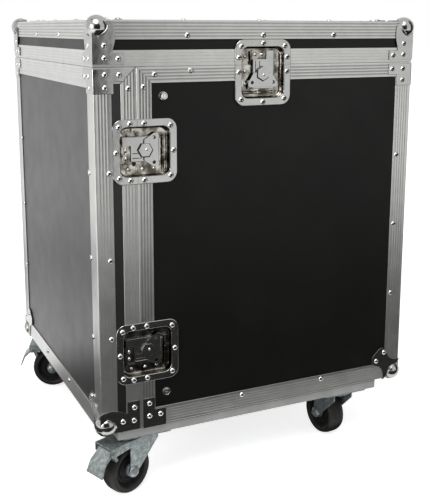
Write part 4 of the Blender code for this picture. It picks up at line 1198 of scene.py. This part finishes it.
def latch_hook():
    """Sliding hook plate with its slots and its folded edges."""
    outline = [(-0.016, -0.030), (0.023, -0.030), (0.023, 0.022), (0.009, 0.022), (0.009, 0.0085),
               (-0.016, 0.0085)]
    hook = plate(outline, HOOK_LOW, HOOK_HIGH, "latch_hook")
    slot = arc(HUB.x, HUB.y, PIN_RADIUS, 0, 180, 8)
    slot += arc(HUB.x, HUB.y - HOOK_TRAVEL, PIN_RADIUS, 180, 360, 8)
    cut(hook, [plate(slot, -0.01, 0.0), block((-0.0036, -0.0045, -0.01), (-0.0026, 0.0058, 0)),
               block((-0.0110, -0.0092, -0.01), (-0.0100, 0.0060, 0))])
    soften(hook, 0.00025, 2, 40.0)
    fold = soften(block((-0.0160, -0.012, HOOK_LOW), (-0.0148, 0.0080, -0.0044)), 0.0004)
    rim = soften(block((0.0219, -0.029, HOOK_LOW), (0.0230, 0.0215, -0.0047)), 0.0004)
    return join("latch_hook", [hook, fold, rim])


def latch_wing():
    """Butterfly wing with its six sided hub, eyes and rolled lip, about the hub's axis."""
    flank = HUB_RADIUS * 0.88
    shoulder = 0.0016
    outline = [(flank, shoulder), (flank, flank / 2), (0.0, HUB_RADIUS), (-flank, flank / 2),
               (-flank, shoulder), (-0.0165, shoulder), (-0.0266, -0.0134)]
    outline += arc(-0.0226, -0.0180, 0.0042, 185, 268, 5) + arc(0.0220, -0.0180, 0.0042, 272, 355, 5)
    outline += [(0.0260, -0.0140), (0.0155, shoulder)]
    blade = plate(outline, BLADE_LOW, BLADE_HIGH, "latch_wing")
    eyes = [plate(arc(x, -0.0143, 0.0027, 0, 342, 19), -0.01, 0.0) for x in (-0.0195, 0.0190)]
    cut(blade, eyes)
    soften(blade, 0.0003, 2, 40.0)
    lip = soften(block((-0.0185, -0.0245, BLADE_LOW), (0.0185, -0.0212, -0.0019)), 0.0008, 3)
    hub = soften(plate(hexagon(HUB_RADIUS), -0.0052, -0.0014, "hub"), 0.0005, 2, 40.0)
    return join("latch_wing", [blade, lip, hub])


def hub_shadow_gap():
    """Dark plate round the foot of the hub, a painted shadow in the gap under its raised edge."""
    return plate(hexagon(HUB_GAP_RADIUS), BLADE_HIGH - 0.0002, BLADE_HIGH + 0.00008, "hub_gap")


def latch_masters():
    """One of each piece of a latch, from which all six latches are copied."""
    dish, strike = latch_dishes()
    return {"dish": dish, "strike": strike, "hook": latch_hook(), "wing": latch_wing(),
            "gap": hub_shadow_gap(), "rivet": rivet_master(), "mandrel": mandrel_master(),
            "head": dome(0.0030, 0.0018), "small": dome(0.0022, 0.0011),
            "pit": plate(arc(0, 0, 0.0036, 0, 345, 16), 0.0, 0.0003, "pit")}


def latch_half(part, name, body, matrix, masters):
    """Dish or strike of one latch, with its rivets and the painted shade in its holes."""
    piece = duplicate(masters[part], f"latch_{part}_pressing_{name}", matrix)
    hand_over(piece, ("bright_nickel", "tarnished_nickel"), body, "bright_nickel", f"latch_{part}_{name}")
    rim, heads, pits = LATCH_SPOTS[part]
    rim = [(x, y, ON_FACE) for x, y in rim]
    for kind, finish, rows in (("rivets", "rivet_steel", (("rivet", rim), ("head", heads))),
                               ("holes", "dark_hole", (("mandrel", rim), ("pit", pits)))):
        copies = [duplicate(masters[master], "copy", matrix @ Matrix.Translation(spot))
                  for master, spots in rows for spot in spots]
        hand_over(join(f"latch_{part}_{kind}_{name}", copies), finish, body, "bright_nickel")


def latch_workings(name, matrix, masters):
    """Hook plate and wing of one latch, with the painted shadow round the hub and the rivet in it."""
    piece = duplicate(masters["hook"], f"latch_hook_plate_{name}", matrix)
    hand_over_nickel(piece, f"hook_{name}", f"latch_hook_{name}")
    wing = f"wing_{name}"
    centre = matrix @ Matrix.Translation(HUB)
    piece = duplicate(masters["wing"], f"latch_wing_blade_{name}", centre)
    hand_over_nickel(piece, wing, f"latch_wing_{name}")
    # The dark plate sits a little down and to the left, so the painted shadow shows on that side of the hub.
    gap_place = centre @ Matrix.Translation((-0.0007, -0.0007, 0.0))
    piece = duplicate(masters["gap"], f"latch_hub_gap_{name}", gap_place)
    hand_over(piece, "dark_hole", wing, "bright_nickel")
    rivet_place = centre @ Matrix.Translation((0.001, -0.0023, -0.0014))
    piece = duplicate(masters["small"], f"latch_hub_rivet_{name}", rivet_place)
    hand_over(piece, "rivet_steel", wing, "bright_nickel")


class RACKCASE_OT_latches(bpy.types.Operator):
    """Builds the recessed butterfly latches"""

    bl_idname = "rackcase.latches"
    bl_label = "Latches"

    def execute(self, context):
        masters = latch_masters()
        for name, lid, matrix in latch_places():
            latch_half("dish", name, "case", matrix, masters)
            latch_half("strike", name, lid, matrix, masters)
            latch_workings(name, matrix, masters)
        put_away(*masters.values())
        return {"FINISHED"}


# Rails


class RACKCASE_OT_rails(bpy.types.Operator):
    """Finishes the rack and mixer rails"""

    bl_idname = "rackcase.rails"
    bl_label = "Rails"

    def execute(self, context):
        for node in ("rack_rail_left", "rack_rail_right", "mixer_rail_left", "mixer_rail_right"):
            bar = soften(cad_copy(node, f"{node}_bar"), 0.0004, 1, 40.0)
            hand_over(bar, "zinc_plate", "case", "zinc_plate", node)
        return {"FINISHED"}


# Castors


CASTOR_TRAIL = 0.034
WHEEL_RADIUS = 0.041
FORK_OUTER = 0.02125
FRONT_INSET, REAR_INSET, SIDE_INSET = 0.080, 0.1085, 0.039
FRONT_SWING = 21.0
REAR_SWING = 95.5
BOARD_FOOT = -0.0168
PLATE_FOOT = -0.0193
# Heights and reach of the black strip that paints the shadow line between the edging and the board.
STRIP_LOW, STRIP_HIGH, STRIP_PROUD = -0.0027, -0.0002, 0.0001
BOLT_SPOTS = ((-0.022, -0.030), (0.022, -0.030), (0.022, 0.030), (-0.022, 0.030))
BRAKE_PIN = (0.074, 0.0852)
ACROSS = Matrix.Rotation(-math.pi / 2, 4, "X")
AXLE = Matrix.Translation((CASTOR_TRAIL, 0, WHEEL_RADIUS))
TREAD_WIDTH = 0.0135
TREAD_RADIUS, TREAD_FLOOR = 0.0410, 0.0403
TYRE_SIDE = [(0.0285, 0.0098), (0.0292, 0.0128), (0.0306, 0.0146), (0.0330, 0.0156), (0.0352, 0.0158),
             (0.0362, 0.0150), (0.0368, 0.0157), (0.0385, 0.0144), (0.0400, 0.0108), (0.0408, 0.0078)]
CENTRE_SIDE = [(0.0043, 0.0172), (0.0084, 0.0172), (0.0084, 0.0090), (0.0118, 0.0072), (0.0150, 0.0066),
               (0.0168, 0.0082), (0.0190, 0.0082), (0.0205, 0.0062), (0.0250, 0.0060), (0.0272, 0.0090),
               (0.0286, 0.0100)]
SLEEVE = [(0.0086, 0.0120), (0.0105, 0.0120), (0.0105, 0.0171), (0.0100, 0.0176), (0.0086, 0.0176)]
AXLE_CAP = [(0.0, 0.0046), (0.0040, 0.0044), (0.0074, 0.0036), (0.0094, 0.0018), (0.0099, 0.0), (0.0, 0.0)]
RACE = [(0.0180, 0.0955), (0.0262, 0.0955), (0.0275, 0.0965), (0.0275, 0.0982), (0.0262, 0.0986),
        (0.0180, 0.0986)]


def castor_places():
    """Name and matrix of each castor: zero on the floor under its swivel, the wheel trailing along +X."""
    places = []
    for end, y, middle, swing in (("front", FRONT_INSET - HALF_D, 270, FRONT_SWING),
                                  ("rear", HALF_D - REAR_INSET, 90, REAR_SWING)):
        for side, sx in SIDES:
            centre = place(sx * (HALF_W - SIDE_INSET), y, 0)
            turn = Matrix.Rotation(math.radians(middle + sx * swing), 4, "Z")
            places.append((f"{end}_{side}", Matrix.Translation((centre.x, centre.y, 0)) @ turn))
    return places


def mirrored(side):
    """The points of a wheel's other side, in the order that closes its outline."""
    return [(radius, -along) for radius, along in reversed(side)]


def tyre():
    """Rubber tyre about Z, with fine grooves round its tread."""
    outline = TYRE_SIDE[:]
    grooves = bpy.context.scene.rack_case_sizes.tread_grooves
    pitch = TREAD_WIDTH / max(grooves, 1)
    across = ((TREAD_RADIUS, 0.16), (TREAD_FLOOR, 0.08), (TREAD_FLOOR, -0.08), (TREAD_RADIUS, -0.16))
    for i in range(grooves):
        middle = pitch * ((grooves - 1) / 2 - i)
        outline += [(radius, middle + pitch * share) for radius, share in across]
    return smooth(spun(outline + mirrored(TYRE_SIDE), 48, "tyre"), 50.0)


def wheel_centre():
    """Hub, web and rim of the wheel about Z."""
    return smooth(spun(CENTRE_SIDE + mirrored(CENTRE_SIDE), 36, "wheel_centre"), 40.0)


def axle_sleeve():
    """Bright sleeves between the hub and the fork's legs, about Z."""
    sleeves = [spun([(radius, sign * along) for radius, along in SLEEVE], 32, "sleeve") for sign in (-1, 1)]
    return smooth(join("axle_sleeve", sleeves), 40.0)


def hex_nut(radius, height):
    """Hexagon nut with the rounded end of its bolt, about Z."""
    put_down()
    bpy.ops.mesh.primitive_cylinder_add(vertices=6, radius=radius, depth=height, location=(0, 0, height / 2))
    nut = soften(settle(rename(bpy.context.object, "nut")), radius * 0.12, 2, 40.0)
    end = spun([(0.0001, height), (radius * 0.5, height), (radius * 0.5, height * 1.25),
                (radius * 0.4, height * 1.4), (0.0001, height * 1.4)], 16, "end")
    return join("nut", [nut, smooth(end, 40.0)])


def on_both_legs(piece, x, z):
    """Copies of a piece made about Z on the outer faces of a fork's legs."""
    copies = []
    for sign in (-1, 1):
        out = Matrix.Rotation(-sign * math.pi / 2, 4, "X")
        copies.append(duplicate(piece, "copy", Matrix.Translation((x, sign * FORK_OUTER, z)) @ out))
    put_away(piece)
    return copies


def fork_dressing(braked):
    """Axle nuts on their caps and swivel race of a fork, with the nuts of a braked one's pedal pin."""
    cap = smooth(spun(AXLE_CAP, 28, "cap"), 50.0)
    nut = settle(hex_nut(0.0052, 0.0030), Matrix.Translation((0, 0, 0.0034)))
    pieces = on_both_legs(join("nut", [nut, cap]), CASTOR_TRAIL, WHEEL_RADIUS)
    pieces.append(smooth(spun(RACE, 36, "race"), 40.0))
    if braked:
        pieces += on_both_legs(hex_nut(0.0036, 0.0024), *BRAKE_PIN)
    return join("fork_dressing", pieces)


def castor_board():
    """Grey board with the castors' plates in zinc, and a black strip along its top edges that paints the
    shadow line under the body's edging.
    """
    board = cad_copy("castor_board", "castor_board_panel")
    for face in board.data.polygons:
        face.material_index = int(face.center.z < place(0, 0, BOARD_FOOT).z - 0.0005)
    soften(board, 0.0006, 2, 40.0)
    hand_over(board, ("grey_board", "zinc_plate"), "case", "grey_board", "castor_board")
    low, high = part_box("castor_board")
    # Black strip in the rubber finish, standing for the shadow line under the edging.
    strip = block((low[0] - STRIP_PROUD, low[1] - STRIP_PROUD, place(0, 0, STRIP_LOW).z),
                  (high[0] + STRIP_PROUD, high[1] + STRIP_PROUD, place(0, 0, STRIP_HIGH).z), "board_strip")
    hand_over(strip, "black_rubber", "case", "black_rubber")


def castor(name, matrix, masters):
    """Fork and wheel of one castor, with the pedal of a braked one."""
    fork = soften(cad_copy(f"castor_fork_{name}", f"castor_fork_pressing_{name}"), 0.0009, 3, 40.0)
    dressing = duplicate(masters[name.split("_")[0]], "dressing", matrix)
    fork = join(f"castor_fork_pressing_{name}", [fork, dressing])
    hand_over(fork, "zinc_plate", f"fork_{name}", "zinc_plate", f"castor_fork_{name}")
    tyre_piece, centre, sleeve = (duplicate(masters[kind], f"{kind}_{name}", matrix @ AXLE @ ACROSS)
                                  for kind in ("tyre", "wheel_centre", "axle_sleeve"))
    wheel = f"wheel_{name}"
    hand_over(tyre_piece, "black_rubber", wheel, "black_rubber", f"castor_wheel_{name}")
    hand_over(centre, "wheel_plastic", wheel, "black_rubber")
    hand_over(sleeve, "zinc_plate", wheel, "zinc_plate")
    if name.startswith("front"):
        pedal = soften(cad_copy(f"brake_pedal_{name}", f"brake_pedal_tread_{name}"), 0.0006, 2, 40.0)
        hand_over(pedal, "zinc_plate", f"pedal_{name}", "zinc_plate", f"brake_pedal_{name}")


def plate_bolts(bolt, centre):
    """Bolts under the top plate of one castor."""
    spots = [(centre.x + x, centre.y + y, place(0, 0, PLATE_FOOT).z) for x, y in BOLT_SPOTS]
    return [duplicate(bolt, "bolt", Matrix.Translation(spot) @ DOWN) for spot in spots]


class RACKCASE_OT_castors(bpy.types.Operator):
    """Dresses the castor board, the forks, wheels and brake pedals"""

    bl_idname = "rackcase.castors"
    bl_label = "Castors"

    def execute(self, context):
        castor_board()
        masters = {"tyre": tyre(), "wheel_centre": wheel_centre(), "axle_sleeve": axle_sleeve(),
                   "front": fork_dressing(True), "rear": fork_dressing(False),
                   "bolt": hex_nut(0.0050, 0.0018)}
        bolts = []
        for name, matrix in castor_places():
            castor(name, matrix, masters)
            bolts += plate_bolts(masters["bolt"], matrix.translation)
        hand_over(join("castor_bolts", bolts), "zinc_plate", "case", "zinc_plate")
        put_away(*masters.values())
        return {"FINISHED"}


# Stage: lamps are (name, spot, size, power), black cards (low corner, high corner)


LAMP_AIM = Vector((0, 0, 0.4))
LAMPS = (
    ("key_softbox", (1.15, -2.15, 1.0), 1.0, 18.0),
    ("left_softbox", (-3.0, -2.6, 1.2), 2.4, 3.2),
    ("high_softbox", (1.6, -0.9, 2.8), 1.8, 44.0),
)
BLACK_CARDS = (
    ((0.36, -0.8, 0.02), (1.8, 1.7, 0.03)),
    ((-0.3, -0.8, 0.02), (0.36, -0.37, 0.03)),
    ((-0.3, -0.37, 0.001), (0.245, 0.31, 0.004)),
    ((-1.4, -1.0, 0.02), (-0.6, -0.62, 0.03)),
    ((0.3, 1.3, 0.02), (1.15, 1.33, 2.2)),
    ((2.2, -2.0, 0.1), (2.23, 0.36, 1.8)),
)
FLOOR_GLOW = 0.72
CAMERA_SPOT = (1.478, -0.6542, 0.6358)
CAMERA_TURN = (65.0644, 10.7235, 0.0839)
CAMERA_LENS = 61.193
CAMERA_SHIFT = -0.12


class RACKCASE_OT_stage(bpy.types.Operator):
    """Sets the floor, the world, the lamps with their black cards, and the camera"""

    bl_idname = "rackcase.stage"
    bl_label = "Stage"

    def execute(self, context):
        studio_floor()
        studio_world()
        for name, spot, size, power in LAMPS:
            lamp(name, spot, size, power)
        for low, high in BLACK_CARDS:
            black_card(low, high)
        photo_camera()
        return {"FINISHED"}


def camera_rays(tree):
    """Light Path's camera, glossy and transmission rays added together."""
    path = tree.nodes.new("ShaderNodeLightPath")
    total = path.outputs["Is Camera Ray"]
    for ray in ("Is Glossy Ray", "Is Transmission Ray"):
        add = tree.nodes.new("ShaderNodeMath")
        add.operation = "ADD"
        add.use_clamp = True
        tree.links.new(total, add.inputs[0])
        tree.links.new(path.outputs[ray], add.inputs[1])
        total = add.outputs[0]
    return total


def studio_floor():
    """Pale floor that glows a little for the camera and in reflections."""
    put_down()
    bpy.ops.mesh.primitive_plane_add(size=60.0, location=(0, 0, 0))
    floor = rename(bpy.context.object, "studio_floor")
    material = bpy.data.materials.new("pale_floor")
    material.use_nodes = True
    tree = material.node_tree
    shader = set_inputs(tree.nodes["Principled BSDF"], Base_Color=(0.8, 0.8, 0.8, 1.0), Roughness=0.9,
                        Specular_IOR_Level=0.0)
    glow = set_inputs(tree.nodes.new("ShaderNodeEmission"), Color=(1.0, 1.0, 1.0, 1.0))
    strength = tree.nodes.new("ShaderNodeMath")
    strength.operation = "MULTIPLY"
    strength.inputs[1].default_value = FLOOR_GLOW
    tree.links.new(camera_rays(tree), strength.inputs[0])
    tree.links.new(strength.outputs[0], glow.inputs["Strength"])
    add = tree.nodes.new("ShaderNodeAddShader")
    tree.links.new(shader.outputs[0], add.inputs[0])
    tree.links.new(glow.outputs[0], add.inputs[1])
    tree.links.new(add.outputs[0], tree.nodes["Material Output"].inputs["Surface"])
    floor.data.materials.append(material)


def studio_world():
    """Soft white light all round, plain white to the camera and in reflections."""
    world = bpy.data.worlds.new("studio_world")
    bpy.context.scene.world = world
    world.use_nodes = True
    tree = world.node_tree
    soft = set_inputs(tree.nodes["Background"], Color=(0.97, 0.985, 1.0, 1.0), Strength=0.55)
    white = set_inputs(tree.nodes.new("ShaderNodeBackground"), Color=(1.0, 1.0, 1.0, 1.0), Strength=1.0)
    mix = tree.nodes.new("ShaderNodeMixShader")
    tree.links.new(camera_rays(tree), mix.inputs[0])
    tree.links.new(soft.outputs[0], mix.inputs[1])
    tree.links.new(white.outputs[0], mix.inputs[2])
    tree.links.new(mix.outputs[0], tree.nodes["World Output"].inputs["Surface"])


def lamp(name, spot, size, power):
    data = bpy.data.lights.new(name, "AREA")
    data.shape = "DISK"
    data.size = size
    data.energy = power
    obj = bpy.data.objects.new(name, data)
    bpy.context.collection.objects.link(obj)
    obj.location = spot
    obj.rotation_euler = (LAMP_AIM - Vector(spot)).to_track_quat("-Z", "Y").to_euler()


def black_card(low, high):
    """Black card near the case, seen only as the dark in its metal and laminate."""
    card = block(low, high, "black_flag")
    finish = Finish("black_card", (0.01, 0.01, 0.01), 0.9)
    card.data.materials.append(finish.material)
    card.visible_camera = card.visible_diffuse = card.visible_shadow = False


def photo_camera():
    """Camera fitted to the corners of the case in the photograph."""
    azimuth, elevation, roll = (math.radians(value) for value in CAMERA_TURN)
    level = math.cos(elevation)
    back = Vector((math.sin(azimuth) * level, -math.cos(azimuth) * level, math.sin(elevation)))
    right = Vector((0, 0, 1)).cross(back).normalized()
    up = back.cross(right)
    tilted_right = right * math.cos(roll) + up * math.sin(roll)
    tilted_up = up * math.cos(roll) - right * math.sin(roll)
    data = bpy.data.cameras.new("photo_camera")
    data.sensor_width = 36.0
    data.sensor_fit = "AUTO"
    data.lens = CAMERA_LENS
    data.shift_y = CAMERA_SHIFT
    data.clip_end = 100.0
    camera = bpy.data.objects.new("photo_camera", data)
    bpy.context.collection.objects.link(camera)
    turn = Matrix((tilted_right, tilted_up, back)).transposed().to_4x4()
    camera.matrix_world = Matrix.Translation(place(*CAMERA_SPOT)) @ turn
    bpy.context.scene.camera = camera
    bpy.context.scene.view_settings.view_transform = "Standard"


class RACKCASE_PT_panel(bpy.types.Panel):
    """Lists the groups of pieces with their sizes and colours"""

    bl_label = "Rack Case"
    bl_idname = "RACKCASE_PT_panel"
    bl_space_type = "VIEW_3D"
    bl_region_type = "UI"
    bl_category = "Rack Case"

    def draw(self, context):
        layout = self.layout
        for group in (context.scene.rack_case_sizes, context.scene.rack_case_colours):
            for name in group.__annotations__:
                layout.prop(group, name)
        for operator in OPERATORS:
            layout.operator(operator.bl_idname)


OPERATORS = (
    RACKCASE_OT_panels,
    RACKCASE_OT_edging,
    RACKCASE_OT_corners,
    RACKCASE_OT_rivets,
    RACKCASE_OT_latches,
    RACKCASE_OT_rails,
    RACKCASE_OT_castors,
    RACKCASE_OT_stage,
)
CLASSES = (RackCaseSizes, RackCaseColours, *OPERATORS, RACKCASE_PT_panel)


def register():
    for cls in CLASSES:
        bpy.utils.register_class(cls)
    bpy.types.Scene.rack_case_sizes = PointerProperty(type=RackCaseSizes)
    bpy.types.Scene.rack_case_colours = PointerProperty(type=RackCaseColours)


def unregister():
    del bpy.types.Scene.rack_case_colours
    del bpy.types.Scene.rack_case_sizes
    for cls in reversed(CLASSES):
        bpy.utils.unregister_class(cls)


def main():
    register()
    bpy.ops.rackcase.panels()
    bpy.ops.rackcase.edging()
    bpy.ops.rackcase.corners()
    bpy.ops.rackcase.rivets()
    bpy.ops.rackcase.latches()
    bpy.ops.rackcase.rails()
    bpy.ops.rackcase.castors()
    bpy.ops.rackcase.stage()


if __name__ == "__main__":
    main()
